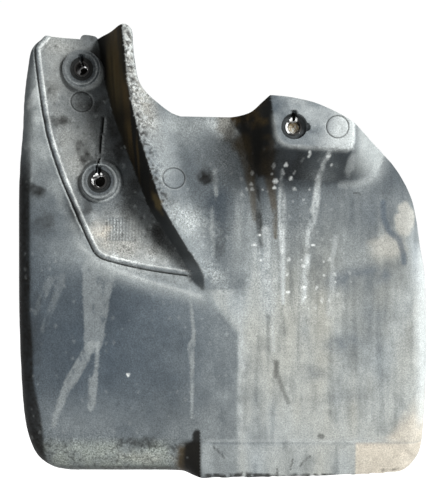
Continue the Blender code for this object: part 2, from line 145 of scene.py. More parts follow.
def along(q, line):
    """Distance to a line and the line's third value at the nearest place, for each plan point."""
    rows = np.array([tuple(p) + (0,) * (3 - len(p)) for p in line], float)
    a, d = rows[:-1], rows[1:] - rows[:-1]
    size = (d[:, :2] ** 2).sum(1)
    gap = np.empty(len(q))
    value = np.empty(len(q))
    for s in range(0, len(q), CHUNK):
        rel = q[s:s + CHUNK, None, :] - a[None, :, :2]
        t = np.clip((rel * d[:, :2]).sum(2) / size, 0.0, 1.0)
        g = ((rel - t[:, :, None] * d[:, :2]) ** 2).sum(2)
        k = g.argmin(1)
        n = np.arange(len(k))
        gap[s:s + CHUNK] = np.sqrt(g[n, k])
        value[s:s + CHUNK] = a[k, 2] + t[n, k] * d[k, 2]
    return gap, value


def inside(q, polygon):
    loop = np.array([p[:2] for p in polygon], float)
    nxt = np.roll(loop, -1, axis=0)
    rise = np.where(nxt[:, 1] == loop[:, 1], TINY, nxt[:, 1] - loop[:, 1])
    slope = (nxt[:, 0] - loop[:, 0]) / rise
    out = np.empty(len(q), bool)
    for s in range(0, len(q), CHUNK):
        x, z = q[s:s + CHUNK, 0][:, None], q[s:s + CHUNK, 1][:, None]
        hit = ((loop[:, 1] > z) != (nxt[:, 1] > z)) & (x < loop[:, 0] + (z - loop[:, 1]) * slope)
        out[s:s + CHUNK] = hit.sum(1) % 2 == 1
    return out


def ease(t):
    """0 up to 0, 1 from 1 on, and a smooth step between."""
    t = np.clip(t, 0.0, 1.0)
    return t * t * (3 - 2 * t)


def radius_from(q, centre):
    return np.hypot(q[:, 0] - centre[0], q[:, 1] - centre[1])


def share(a, b):
    """How far a point is from line a on its way to line b, 0 to 1."""
    return a / (a + b + TINY)


def rim_roll(x, z):
    """How wide and how deep the rim is rolled back at places on the outline; the depth is 0 to 1."""
    left, bottom = ease((-100 - x) / 30), ease((-165 - z) / 12)
    width = ROLL_SIDE + (ROLL_FOOT - ROLL_SIDE) * bottom * ease((x + 168) / 40)
    width = width * (1 - 0.4 * ease((z - 110) / 50))
    depth = left * (1 - 0.45 * ease((z - 90) / 60)) * (1 - ease((z - 150) / 22))
    depth = np.maximum(depth, bottom * (1 - ease((x + 35) / 20)))
    depth = np.maximum(depth, ease((x - 138) / 26) * (1 - ease((z + 10) / 80)))
    return width, np.where((z > 70) & (x > -140), 0.0, depth)


def base_relief(q):
    """The CAD surface's own levels: rolled rim, lip, flange, ridge and pad."""
    loop = outline(5.0)
    loop.append(loop[0])
    width, depth = rim_roll(*np.array(loop).T)
    gap, wide = along(q, [(a, b, c) for (a, b), c in zip(loop, width)])
    deep = along(q, [(a, b, c * ROLL_DEPTH) for (a, b), c in zip(loop, depth)])[1]
    u = np.where(inside(q, loop), np.clip(1 - gap / wide, 0.0, 1.0), 1.0)
    level = PLATE - deep * (1 - np.sqrt(1 - 0.985 * u * u)) / (1 - math.sqrt(0.015))
    level = level - 2.0 * np.clip((-154 - q[:, 1]) / 27, 0, 1) * ease((q[:, 0] + 20) / 12)
    to_foot, foot = along(q, FOOT)
    to_crest, crest = along(q, CREST)
    t = share(along(q, EDGE)[0], to_foot)
    level = np.where(inside(q, EDGE + FOOT[::-1]), level + (foot - level) * t, level)
    t = share(to_foot, to_crest)
    level = np.where(inside(q, FOOT + CREST[::-1]), foot + (crest - foot) * t ** 1.12, level)
    t = share(along(q, SLOPE)[0], to_crest)
    level = np.where(inside(q, CREST + SLOPE[::-1]), PLATE + (crest - PLATE) * t ** 1.45, level)
    t = share(along(q, BASE)[0], along(q, FACE)[0])
    level = np.where(inside(q, BASE), PLATE + (PAD - PLATE) * t ** 1.25, level)
    return np.where(inside(q, FACE), PAD, level)


# ---- the two surfaces as height grids, 1 mm apart
def blur(grid, sigma):
    reach = int(3 * sigma + 1)
    k = np.exp(-0.5 * (np.arange(-reach, reach + 1) / sigma) ** 2)
    k /= k.sum()
    for axis in (0, 1):
        pad = [(reach, reach) if a == axis else (0, 0) for a in (0, 1)]
        wide = np.pad(grid, pad, mode="edge")
        n = grid.shape[axis]
        grid = sum(w * np.take(wide, range(i, i + n), axis=axis) for i, w in enumerate(k))
    return grid


def sample(grid, q):
    fx = np.clip(q[:, 0] - GX[0], 0, len(GX) - 1.001)
    fz = np.clip(q[:, 1] - GZ[0], 0, len(GZ) - 1.001)
    i, j = fx.astype(int), fz.astype(int)
    u, v = fx - i, fz - j
    return ((grid[j, i] * (1 - u) + grid[j, i + 1] * u) * (1 - v)
            + (grid[j + 1, i] * (1 - u) + grid[j + 1, i + 1] * u) * v)


def front_grid(raw):
    """The CAD levels with their edges softened, most below the pad and on the ridge's right slope."""
    x, z = CELLS[:, 0], CELLS[:, 1]
    soft = ease((x - 44) / 20) * ease((104 - z) / 14) * ease((z - 30) / 12)
    soft = np.maximum(soft, ease((-40 - x) / 10) * ease((x + 90) / 6) * ease((z - 60) / 60) * 0.8)
    soft = soft.reshape(raw.shape)
    grid = blur(raw, 0.9) * (1 - soft) + blur(raw, 3.2) * soft
    return np.where(inside(CELLS, FACE).reshape(raw.shape) & (soft > 0), grid * 0.4 + raw * 0.6, grid)


def rear_grid(raw):
    """The front rolled under by a ball of the wall's radius, so that the wall is even on steep faces too."""
    under = raw - WALL
    reach = math.ceil(WALL)
    for dx in range(-reach, reach + 1):
        for dz in range(-reach, reach + 1):
            far = dx * dx + dz * dz
            if 0 < far <= WALL * WALL:
                lifted = np.roll(np.roll(raw, dz, 0), dx, 1) - math.sqrt(WALL * WALL - far)
                under = np.minimum(under, lifted)
    return blur(under, 1.0)


CHUNK, TINY = 6000, 1e-9
GX, GZ = np.arange(-176.0, 177.0), np.arange(-190.0, 186.0)
CELLS = np.array([(x, z) for z in GZ for x in GX])
RAW = base_relief(CELLS).reshape(len(GZ), len(GX))
FRONT, REAR = front_grid(RAW), rear_grid(RAW)


# ---- noise
def hash01(a, b=0.0):
    v = np.sin(np.asarray(a) * 12.9898 + np.asarray(b) * 78.233) * 43758.5453
    return v - np.floor(v)


def value_noise(q, size, seed=0.0):
    """Smooth noise over the plan, 0 to 1."""
    p = q / size
    i = np.floor(p)
    f = p - i
    f = f * f * (3 - 2 * f)
    n = [hash01(i[:, 0] + a + seed, i[:, 1] + b - seed * 1.7) for b in (0, 1) for a in (0, 1)]
    low = n[0] * (1 - f[:, 0]) + n[1] * f[:, 0]
    high = n[2] * (1 - f[:, 0]) + n[3] * f[:, 0]
    return low * (1 - f[:, 1]) + high * f[:, 1]


def fractal(q, size, octaves=4, seed=0.0):
    total, weight, out = 0.0, 1.0, 0.0
    for k in range(octaves):
        out = out + weight * value_noise(q, size, seed + 7.3 * k)
        total += weight
        weight *= 0.55
        size = size * 0.5
    return out / total


# ---- fine relief
BEAD_FINE = smooth_run(BEAD, 3.0) + [BEAD[-1]]
GROOVE = shifted(BEAD_FINE, -2.5)
INNER = shifted(BEAD_FINE, 1.7)
OUTER = shifted(BEAD_FINE[:58], -3.5)


def ridge_of(q, line, reach, fall):
    """1 on the line, falling to 0 between reach and reach + fall."""
    return 1 - ease((along(q, line)[0] - reach) / fall)


def disc(r, radius, fall):
    """1 within the radius, falling to 0 over the next fall."""
    return 1 - ease((r - radius) / fall)


def stepped_seat(r, top, seat, step):
    """A boss top with a washer seat sunk in it, (depth, radius, fall), and a lower ring round the bore."""
    return top - seat[0] * disc(r, seat[1], seat[2]) - step * disc(r, 9.2, 0.4)


def front_level(q):
    level = sample(FRONT, q)
    # sealing bead with its groove, and the nick in it
    nick = np.exp(-((q[:, 1] - 102.5) / 4.6) ** 4) * (q[:, 0] < -120)
    ragged = 0.25 * (fractal(q, 3.0, 3, 4.0) - 0.5)
    level = level + (1.5 + ragged) * ridge_of(q, BEAD_FINE, 1.0, 0.9) * (1 - 0.85 * nick)
    level = level - 1.1 * ridge_of(q, GROOVE, 0.15, 0.75)
    # flange bosses
    r = radius_from(q, UPPER)
    top = stepped_seat(r, UPPER_SEAT, (0.7, 12.6, 0.7), 0.7)
    level = level + (top - level) * disc(r, 15.35, 1.1)
    r = radius_from(q, LOWER)
    low = np.maximum(21.0, level * 0.25 + 15.6) + 0.25 * np.sin(np.clip(r - 15, 0, 3) * 2.1)
    level = level + (low - level) * disc(r, 17.3, 1.0)
    top = stepped_seat(r, LOWER_SEAT, (0.75, 12.1, 0.6), 0.65)
    level = level + (top - level) * disc(r, 13.6, 0.8)
    # pad washer seat with its ear
    r = radius_from(q, PAD_HOLE)
    s = np.maximum(disc(r, 9.3, 0.5), disc(radius_from(q, EAR), 2.8, 0.5))
    level = level + (55.5 + 0.25 * np.sin(r * 1.1) - level) * s
    # blank date-stamp rings with a plain pointer
    for centre, turn in zip(STAMPS, (0.5, 2.2, 4.0)):
        r = radius_from(q, centre)
        level = level - 0.55 * np.exp(-((r - STAMP_R) / 0.42) ** 2)
        dx, dz = q[:, 0] - centre[0], q[:, 1] - centre[1]
        u = dx * math.cos(turn) + dz * math.sin(turn)
        v = -dx * math.sin(turn) + dz * math.cos(turn)
        level = level + 0.35 * np.exp(-(v / 0.45) ** 2) * ease((5.2 - np.abs(u)) / 0.8)
        level = level - 0.3 * np.exp(-((r - 2.2) / 0.4) ** 2)
    # knurled patch on the flange
    patch, wave = knurling(q, 0.4)
    level = level + 0.38 * patch * np.clip(wave, -0.2, 1)
    # tear beside the lower hole, with its lips turned up
    for line in TEARS:
        gap = along(q, line)[0]
        level = level + 0.7 * np.exp(-((gap - 1.5) / 0.8) ** 2) - 2.6 * np.exp(-(gap / 0.62) ** 2)
    level = level + 0.35 * ridge_of(q, TRIANGLE, 0.25, 0.4)
    # faint parting line across the lip, and the sheet's own unevenness
    wavy = q[:, 1] + 154 + 0.8 * np.sin(q[:, 0] / 21)
    level = level - 0.45 * np.exp(-(wavy / 0.9) ** 2) * ease((q[:, 0] + 16) / 4)
    return level + 0.9 * (fractal(q, 60.0, 2, 2.0) - 0.5) + 0.12 * (fractal(q, 5.0, 3, 9.0) - 0.5)


def knurling(q, across):
    """Where the knurled patch is, and its raised dots; across is how far they part the ribs."""
    dx, dz = q[:, 0] - KNURL[0], q[:, 1] - KNURL[1]
    patch = ease((KNURL_HALF[0] - np.abs(dx)) / 1.0) * ease((KNURL_HALF[1] - np.abs(dz)) / 1.0)
    ribs = np.cos(dx * 2 * math.pi / KNURL_PITCH[0])
    return patch, ribs * (1 - across + across * np.cos(dz * 2 * math.pi / KNURL_PITCH[1]))


def rear_level(q):
    level = sample(REAR, q)
    bosses = ((UPPER, UPPER_REAR, 15.75), (LOWER, LOWER_REAR, 17.8), (PAD_HOLE, PAD_REAR, 13.0))
    for centre, seat, radius in bosses:
        s = disc(radius_from(q, centre), radius - 0.5, 0.7)
        level = level + (np.minimum(seat, level) - level) * s
    return level


def place(x, z, level):
    """A plan point at a level, in the frame's metres."""
    return ((x - PAD_HOLE[0]) * MM, (PAD_REAR - level) * MM, (z - PAD_HOLE[1]) * MM)


# ---- the flap's fine mesh
def hole_loop(centre):
    """The bore with its relief slot as one plan loop."""
    r, w = BORE_R, SLOT_W / 2
    start = math.asin(w / r)
    side = r * math.cos(start)
    round_steps, slot_steps, chamfer = 56, 5, (0.5, 0.7)
    pts = []
    for k in range(round_steps + 1):
        a = math.pi / 2 + start + (2 * math.pi - 2 * start) * k / round_steps
        pts.append((centre[0] + r * math.cos(a), centre[1] + r * math.sin(a)))
    climb = [side + (SLOT_REACH - chamfer[1] - side) * k / slot_steps for k in range(1, slot_steps + 1)]
    pts += [(centre[0] + w, centre[1] + up) for up in climb]
    pts += [(centre[0] + s * (w - chamfer[0]), centre[1] + SLOT_REACH) for s in (1, -1)]
    pts += [(centre[0] - w, centre[1] + up) for up in climb[::-1]]
    return pts


def loop_area(loop):
    return 0.5 * sum(a[0] * b[1] - b[0] * a[1] for a, b in zip(loop, loop[1:] + loop[:1]))


def loop_normals(loop):
    """Each loop point's outward direction."""
    p = np.array(loop)
    d = np.roll(p, -1, 0) - np.roll(p, 1, 0)
    d /= np.linalg.norm(d, axis=1)[:, None]
    out = np.stack([d[:, 1], -d[:, 0]], 1)
    return -out if loop_area(loop) < 0 else out


def closed(loop):
    return list(loop) + [loop[0]]


def between(q, loops):
    """True for points inside the first loop and outside the others."""
    ok = inside(q, loops[0])
    for loop in loops[1:]:
        ok &= ~inside(q, loop)
    return ok


def sheet(loops, extra, spacing, level_of):
    """A triangulated sheet over the plan inside loops[0] and outside the others."""
    points, edges = [], []
    for loop in loops:
        first = len(points)
        points += [tuple(p) for p in loop]
        edges += [(first + k, first + (k + 1) % len(loop)) for k in range(len(loop))]
    fixed = len(points)
    points += [tuple(p) for p in extra]
    rows = []
    z, shift = -184.0, 0.0
    while z < 180:
        x = np.arange(-172.0 + shift, 172.0, spacing)
        rows.append(np.stack([x, np.full(len(x), z)], 1))
        z += spacing * 0.866
        shift = spacing / 2 - shift
    q = np.vstack(rows)
    q = q[between(q, loops)]
    for loop, room in zip(loops, [spacing * 0.5] + [0.4] * len(loops)):
        q = q[along(q, closed(loop))[0] > room]
    points += [tuple(p) for p in q]
    verts, _, faces, origin, *_ = delaunay_2d_cdt([Vector(p) for p in points], edges, [], 0, 1e-5)
    plan = np.array([(v.x, v.y) for v in verts])
    faces = np.array(faces)
    faces = faces[between(plan[faces].mean(1), loops)]
    new_index = {old: new for new, olds in enumerate(origin) for old in olds}
    return plan, faces, [new_index[k] for k in range(fixed)], level_of(plan)


class Build:
    """The mesh as it grows: vertices in the frame, their plan points, and faces."""

    def __init__(self):
        self.verts, self.plan, self.faces = [], [], []

    def add(self, x, z, level, plan_point=None):
        self.verts.append(place(x, z, level))
        self.plan.append(plan_point or (x, z))
        return len(self.verts) - 1


def join_rims(build, loop, top, low, top_level, low_level, bulge):
    """A rounded wall between the front's rim and the rear's."""
    n = len(loop)
    out = loop_normals(loop)
    rows = [top]
    for step in (0.12, 0.5, 0.88):
        push = bulge * math.sin(math.pi * step)
        row = []
        for k, (x, z) in enumerate(loop):
            level = top_level[k] + (low_level[k] - top_level[k]) * step
            row.append(build.add(x + out[k][0] * push, z + out[k][1] * push, level, (x, z)))
        rows.append(row)
    rows.append(low)
    for a, b in zip(rows, rows[1:]):
        build.faces += [(a[k], a[(k + 1) % n], b[(k + 1) % n], b[k]) for k in range(n)]


def shade_and_silt_plug(build, centre, seat, reach, bites):
    """A plug in a bore, coloured later as painted shade in the flange bores and as tan crumbs in the pad's:
    a crumbly domed disc and a flat one behind it, bitten at three places.
    """
    rings, sides = 6, 40
    for side, dome in ((1, 1.4), (-1, 0.0)):
        first = build.add(*centre, seat + dome * 1.3)
        for j in range(1, rings + 1):
            for k in range(sides):
                a = 2 * math.pi * k / sides
                bite = bites * 2.2 * max(0.0, math.sin(3 * a + centre[0])) ** 4
                r = (reach - bite) * j / rings
                bump = 0.5 * float(hash01(j * 3.1 + centre[0], k * 1.7)) if j < rings else 0.0
                level = seat + dome * math.sqrt(max(0.0, 1 - (j / rings) ** 6)) + bump * side
                build.add(centre[0] + r * math.cos(a), centre[1] + r * math.sin(a), level)
        for k in range(sides):
            n = (k + 1) % sides
            fan = [(first, first + 1 + k, first + 1 + n)]
            for j in range(rings - 1):
                a, b = first + 1 + sides * j, first + 1 + sides * (j + 1)
                fan.append((a + k, b + k, b + n, a + n))
            build.faces += fan if side == 1 else [f[::-1] for f in fan]


def slot_shade_filler(build, centre, seat):
    """A thin block low in a relief slot, coloured near black as painted shade."""
    half, low, high, thick = SLOT_W / 2 - 0.05, 5.2, SLOT_REACH - 0.1, 1.5
    corners = ((-half, low), (half, low), (half, high), (-half, high))
    first = len(build.verts)
    for level in (seat, seat + thick):
        for dx, dz in corners:
            build.add(centre[0] + dx, centre[1] + dz, level)
    for f in ((4, 5, 6, 7), (3, 2, 1, 0), (0, 1, 5, 4), (1, 2, 6, 5), (2, 3, 7, 6), (3, 0, 4, 7)):
        build.faces.append(tuple(first + k for k in f))


def worn(loop):
    """The outline with its ragged foot and slightly uneven sides."""
    pts = []
    for x, z in loop:
        here = np.array([[x, z]])
        side = 0.25 * (float(value_noise(here, 3.0, 3.0)[0]) - 0.5)
        lift = float(ease((-172 - z) / 6)) * (0.9 * (float(value_noise(here, 4.0, 5.0)[0]) - 0.35))
        pts.append((x * (1 + side / 168), z + lift))
    return pts


def rear_loop(loop):
    """The outline moved in where the rim is rolled, so the wall keeps its thickness."""
    p = np.array(loop)
    gx = (base_relief(p + [1, 0]) - base_relief(p - [1, 0])) / 2
    gz = (base_relief(p + [0, 1]) - base_relief(p - [0, 1])) / 2
    out = loop_normals(loop)
    uphill = np.clip(-(gx * out[:, 0] + gz * out[:, 1]) * 2, 0, 6)
    inset = 3.1 * uphill / np.sqrt(1 + uphill ** 2)
    for _ in range(12):
        inset = 0.5 * inset + 0.25 * (np.roll(inset, 1) + np.roll(inset, -1))
    return [tuple(v) for v in p - out * inset[:, None]]


def rings(centre, radii, count=96):
    turns = [2 * math.pi * k / count for k in range(count)]
    return [(centre[0] + r * math.cos(a), centre[1] + r * math.sin(a)) for r in radii for a in turns]


def detail_points(rim, holes):
    """Extra mesh points where the relief is fine: bead, seats, stamps, tear, creases and knurling."""
    points = []
    for gap in (-3.6, -3.2, -2.75, -2.3, -2.0, -1.4, 0.0, 1.4, 1.85, 2.3):
        points += smooth_run(shifted(BEAD_FINE, gap), 1.3)
    points += rings(UPPER, (9.2, 9.65, 12.6, 13.4, 15.3, 15.9, 16.5))
    points += rings(LOWER, (9.2, 9.65, 12.1, 12.75, 13.6, 14.0, 14.5, 15.4, 17.2, 17.8, 18.4))
    points += rings(PAD_HOLE, (9.25, 9.8))
    points += rings(EAR, (2.75, 3.3), 30)
    for centre in STAMPS:
        points += rings(centre, (7.4, 7.9, STAMP_R, 8.6, 9.1), 72)
    for line in TEARS:
        for gap in (-1.5, -0.8, -0.35, 0.0, 0.35, 0.8, 1.5):
            points += smooth_run(shifted(line, gap), 1.0)
    for line, gaps in ((FACE, (-0.8, 0.0, 0.8)), (CREST, (-1.0, 0.0, 1.0)), (FOOT, (0.0,))):
        for gap in gaps:
            points += smooth_run(shifted(line, gap), 1.5)
    grid_x, grid_z = np.arange(-97.5, -62.0, 0.625), np.arange(5.0, 28.0, 0.9)
    points += [(float(x), float(z)) for x in grid_x for z in grid_z]
    points = np.array(points)
    room = inside(points, rim) & (along(points, closed(rim))[0] > 0.5)
    for loop in holes:
        room &= ~inside(points, loop) & (along(points, closed(loop))[0] > 0.25)
    return [tuple(p) for p in points[room]]


def flap_build():
    """Front and rear sheets joined round the rim and the holes, then the plugs in the bores and the slot
    fillers, which stand in for shade in the flange bores and the slots.
    """
    spacing = 1.55
    rim = worn(outline(1.6))
    holes = [hole_loop(c) for c in (UPPER, LOWER, PAD_HOLE)]
    extra = detail_points(rim, holes)
    loops = [rim] + holes
    front_plan, front_faces, front_rims, front = sheet(loops, extra, spacing, front_level)
    back_rim = rear_loop(rim)
    extra = np.array(rings(UPPER, (15.0, 15.9)) + rings(LOWER, (17.0, 17.9)) + rings(PAD_HOLE, (12.3, 13.2)))
    extra = extra[inside(extra, back_rim)]
    rear_plan, rear_faces, rear_rims, rear = sheet([back_rim] + holes, extra, spacing * 1.7, rear_level)

    build = Build()
    for (x, z), level in zip(front_plan, front):
        build.add(x, z, level)
    base = len(front_plan)
    for (x, z), level in zip(rear_plan, rear):
        build.add(x, z, level)
    build.faces = [tuple(int(k) for k in f) for f in front_faces]
    build.faces += [tuple(int(k) + base for k in f[::-1]) for f in rear_faces]
    start = 0
    for loop in loops:
        top, low = front_rims[start:start + len(loop)], rear_rims[start:start + len(loop)]
        start += len(loop)
        bulge = 0.35 if loop is rim else 0.0
        join_rims(build, loop, top, [k + base for k in low], front[top], rear[low], bulge)
    # the plugs and slot fillers start here: near black as painted shade, except the pad's tan crumbs
    shade_and_silt_from = len(build.verts)
    shade_and_silt_plug(build, UPPER, 8.0, 4.35, 0.5)
    shade_and_silt_plug(build, LOWER, 17.0, 4.6, 0.25)
    shade_and_silt_plug(build, PAD_HOLE, PAD_REAR + 1.5, 4.9, 0.0)
    for centre, seat in ((UPPER, 9.0), (LOWER, 15.0), (PAD_HOLE, PAD_REAR + 1.0)):
        slot_shade_filler(build, centre, seat)
    return build, base, shade_and_silt_from


build, front_count, shade_and_silt_from = flap_build()
plan = np.array(build.plan)

# ---- colours of rubber and dirt, some also laid as painted shade and painted highlights
SLATE = (0.029, 0.036, 0.042)
BARE = (0.040, 0.050, 0.061)
# light dust, and also painted highlight on the ridge's crest and the pad's right wall
DUST_AND_HIGHLIGHT = (0.176, 0.190, 0.188)
GREY = (0.172, 0.172, 0.158)
PALE = (0.245, 0.262, 0.260)
# white flecks, and also a painted highlight along the bead's edge
CHALK_AND_HIGHLIGHT = (0.46, 0.48, 0.47)
TAN = (0.292, 0.264, 0.216)
SAND = (0.215, 0.212, 0.190)
LICHEN = (0.150, 0.165, 0.140)
MUD = (0.030, 0.021, 0.009)
RUST = (0.060, 0.045, 0.019)
# near black: dark dirt and smudges, and also painted shade in walls, rims, grooves, recesses, bores and
# slots
SOOT_AND_SHADE = (0.0036, 0.0034, 0.0028)


def mix(a, b, t):
    t = np.clip(t, 0.0, 1.0)[:, None]
    return a * (1 - t) + np.array(b) * t


# ---- brushes: each gives 0 to 1 over the plan points
def to(line):
    return along(plan, line)[0]


def below(height, fade):
    return ease((height - z) / fade)


def above(height, fade):
    return ease((z - height) / fade)


def left_of(side, fade):
    return ease((side - x) / fade)


def right_of(side, fade):
    return ease((x - side) / fade)


def near(line, width):
    """A soft line, 1 in its middle."""
    return np.exp(-(to(line) / width) ** 2)


def ring(centre, radius, width):
    return np.exp(-((radius_from(plan, centre) - radius) / width) ** 2)


def streaks(across, size, octaves, seed):
    """Noise drawn out up and down; across is its width over its height."""
    return fractal(plan * np.array([1.0, across]), size, octaves, seed)


def offsets(centre, turn):
    dx, dz = plan[:, 0] - centre[0], plan[:, 1] - centre[1]
    c, s = math.cos(math.radians(turn)), math.sin(math.radians(turn))
    return dx * c + dz * s, -dx * s + dz * c


def haze(centre, size, turn=0.0):
    """A soft round cloud."""
    u, v = offsets(centre, turn)
    return np.exp(-(u / size[0]) ** 2 - (v / size[1]) ** 2)


def clouds(*rows):
    """A sum of hazes, each row an amount with the haze's own values."""
    return sum(amount * haze(*shape) for amount, *shape in rows)


def blob(centre, size, turn=0.0, soft=0.5, ragged=0.35, seed=1.0):
    """A ragged patch."""
    u, v = offsets(centre, turn)
    r = np.hypot(u / size[0], v / size[1])
    wobble = ragged * (fractal(plan, min(size) * 0.9 + 2.0, 4, seed) - 0.5) * 2
    return 1 - ease((r + wobble - 1 + soft * 0.5) / soft)


def trail(path, width, seed=1.0, broken=0.4):
    """A ragged streak along a path; the third value of each point scales its width."""
    gap, scale = along(plan, [tuple(p) if len(p) == 3 else tuple(p) + (1.0,) for p in path])
    edge = 1 - ease((gap / (width * scale + 1e-6) - 0.45) / 0.75)
    return edge * np.clip(1 - broken + broken * (streaks(0.35, 3.2, 4, seed) - 0.35) * 4, 0, 1)


def scrape(path, seed=1.0):
    """A hard-edged ragged scrape; the third value of each point is its half width."""
    gap, wide = along(plan, path)
    gap = gap + 1.6 * (fractal(plan, 5.0, 3, seed) - 0.5)
    worn_through = ease((streaks(0.5, 4.0, 3, seed + 3) - 0.22) / 0.22)
    return (1 - ease((gap - wide) / 0.9)) * (0.35 + 0.65 * worn_through)


def dots(size, portion, seed):
    """Scattered crisp dots, one in a portion of the cells of a grid."""
    i = np.floor(plan / size)
    h, k = hash01(i[:, 0] + seed, i[:, 1]), hash01(i[:, 1] + seed, i[:, 0] * 1.3)
    c = (i + 0.3 + 0.4 * np.stack([h, k], 1)) * size
    r = np.hypot(plan[:, 0] - c[:, 0], (plan[:, 1] - c[:, 1]) * 0.7)
    return ease((0.7 + 0.9 * k - r) / 0.6) * (hash01(i[:, 0] * 1.7 + seed, i[:, 1] * 2.1) < portion)


# ---- where each plan point lies
x, z = plan[:, 0], plan[:, 1]
cloud = fractal(plan, 46, 4, 3)
mottle = fractal(plan, 13, 5, 5)
grain = fractal(plan, 3, 2, 6)
runs = streaks(0.1, 6, 4, 8)
fine_runs = streaks(0.07, 2.6, 3, 12)
pepper = value_noise(plan, 1.5, 61) * 0.6 + 0.4 * mottle
rough = ease((mottle - 0.3) / 0.4)

on_flange = inside(plan, EDGE + FOOT[::-1]).astype(float)
on_wall = inside(plan, FOOT + CREST[::-1]).astype(float)
on_slope = inside(plan, CREST + SLOPE[::-1]).astype(float)
on_face = inside(plan, FACE).astype(float)
on_base = inside(plan, BASE).astype(float) * (1 - on_face)
to_crest = to(CREST)
shoulder = on_slope * above(70, 50) * (1 - ease((to_crest - 9) / 12))
low_slope = clouds((1, (-26, 22), (11, 30), 60), (1, (-8, -20), (8, 16), 50), (0.6, (-50, 62), (6, 24), 16))
under_pad = on_base * below(80, 6) * left_of(112, 30) * above(52, 6)
# the dusty right side begins at a wavy border that steps to the left on its way down
border = np.where(z > -32, 14, np.where(z > -68, -14 - (z + 32) * 0.72, 12))
border = border + 5 * (fractal(plan, 22, 3, 51) - 0.5)
right = ease((x - border + 3) / np.where(z > -30, 16, 7))


# ---- the front's dirt and wear, with painted shade and painted highlights, layer by layer
def dust_depth():
    """How much dust lies where, 0 to about 1."""
    beside_bead = (1 - on_flange) * ease((-60 - x + 0.6 * (z + 12)) / 30)
    lip_left = right_of(-17.5, 1.5) * below(-154, 1.5) * left_of(70, 50)
    dust = 0.03 + 0.07 * cloud + 0.25 * right_of(-95, 120) * below(30, 40)
    dust = dust + right * below(0, 60) * (0.24 + 0.1 * cloud) + right * below(60, 30) * 0.22
    dust = dust + clouds(
        (0.22, (58, -90), (36, 75)), (0.22, (28, -28), (22, 26)), (0.2, (100, -150), (60, 32)),
        (0.1, (110, 40), (30, 30)), (0.22, (150, -10), (14, 60)), (-0.16, (110, -60), (26, 40)),
        (0.42, (-30, 24), (12, 30), 62), (0.3, (-44, 70), (8, 26), 15), (0.55, (0, 104), (34, 13)),
        (0.35, (-40, 98), (16, 14)), (0.45, (2, -42), (18, 9), -20), (0.55, (-60, -24), (52, 8), -17),
        (0.24, (-8, 80), (40, 36)), (0.16, (-104, 8), (30, 12)), (0.24, (-110, -132), (36, 16)),
        (0.3, (-90, -164), (80, 10)))
    dust = dust - 0.3 * haze((-2, 22), (11, 30)) * below(60, 20)
    dust = dust + beside_bead * clouds((0.48, (-142, 88), (20, 48), 6), (0.3, (-152, 128), (10, 34)))
    dust = dust + (1 - on_flange) * clouds((0.32, (-118, 4), (26, 24), -50), (0.26, (-26, 2), (14, 24)))
    dust = dust + 0.22 * lip_left + 0.16 * haze((0, -110), (16, 60)) * (0.3 + fine_runs)
    dust = dust + 0.17 * below(-104, 50) * (1 - right)
    flange = 0.08 + 0.1 * cloud + clouds(
        (0.8, (-95, 4), (22, 18)), (0.72, (-62, -6), (24, 11), -15), (0.3, (-118, 66), (10, 22)),
        (0.45, (-74, 12), (16, 16)), (0.4, (-136, 140), (12, 34)), (0.26, (-124, 164), (20, 10)),
        (0.22, (-112, 92), (16, 26)), (0.25, (-128, 78), (8, 26)))
    dust = np.where(on_flange > 0.5, flange, dust)
    swing = 0.5 * (mottle - 0.48) + 0.42 * right * (runs - 0.45) * below(90, 30)
    swing = swing + 0.34 * right * (fine_runs - 0.45) + 0.5 * haze((44, -10), (34, 70)) * (fine_runs - 0.45)
    return dust * (0.85 + 1.3 * swing) + 0.3 * swing * (0.2 + dust)


def dusty_rubber():
    dust = dust_depth()
    rubber = np.tile(np.array(SLATE), (len(plan), 1)) * (0.78 + 0.45 * cloud)[:, None]
    rubber = mix(rubber, DUST_AND_HIGHLIGHT, dust)
    rubber = np.where((on_flange > 0.5)[:, None], mix(rubber, GREY, dust * 0.95), rubber)
    cold = haze((-90, -70), (90, 70)) * (1 - right)
    warm = right * below(40, 60) * (streaks(0.3, 26, 3, 91) - 0.35)
    rubber = rubber * (1 + cold[:, None] * np.array([-0.05, 0, 0.06]))
    return rubber * (1 + warm[:, None] * np.array([0.22, 0.08, -0.12]))


colour = dusty_rubber()


def lay(tone, cover):
    """Covers the colour so far with a tone; cover is 0 for nothing to 1 for all."""
    colour[:] = mix(colour, tone, cover)


def bare_places():
    for k, *shape in ((0.62, (112, -22), (36, 9)), (0.5, (96, -75), (18, 8)), (0.4, (72, -98), (12, 7)),
                      (0.3, (98, -118), (20, 7)), (0.35, (124, -52), (16, 10)), (0.25, (116, 26), (12, 22)),
                      (0.2, (66, -62), (8, 12))):
        lay(BARE, k * haze(*shape, 6) * (0.3 + 1.1 * rough))


def ridge_slope():
    """The light, speckled shoulder and the dusty foot of the ridge's right side, and a painted highlight
    along the crest.
    """
    lay(GREY, 0.75 * shoulder)
    lay(PALE, 0.55 * shoulder * ease((pepper - 0.42) / 0.2))
    lay(SOOT_AND_SHADE, 0.75 * shoulder * ease((0.36 - pepper) / 0.08))
    lay(PALE, 0.55 * haze((-72, 174), (6, 8)))
    lay(DUST_AND_HIGHLIGHT, 0.6 * np.clip(low_slope, 0, 1) * (0.3 + 0.9 * ease((pepper - 0.4) / 0.25)) * (1 - on_wall))
    lay(SOOT_AND_SHADE, 0.45 * haze((-44, 40), (6, 10), 60) * on_slope * rough)
    lay(MUD, 0.35 * haze((-60, 108), (9, 12)) * on_slope * rough)
    beside_crest = np.exp(-((to_crest - 2.5) / 4) ** 2) * on_slope * above(10, 30)
    lay(SOOT_AND_SHADE, 0.9 * beside_crest * ease((0.5 - value_noise(plan, 1.7, 63)) / 0.2))
    # painted highlight along the crest
    lay(DUST_AND_HIGHLIGHT, 0.5 * np.exp(-(to_crest / 1.3) ** 2) * (grain + 0.1) * above(-30, 20))


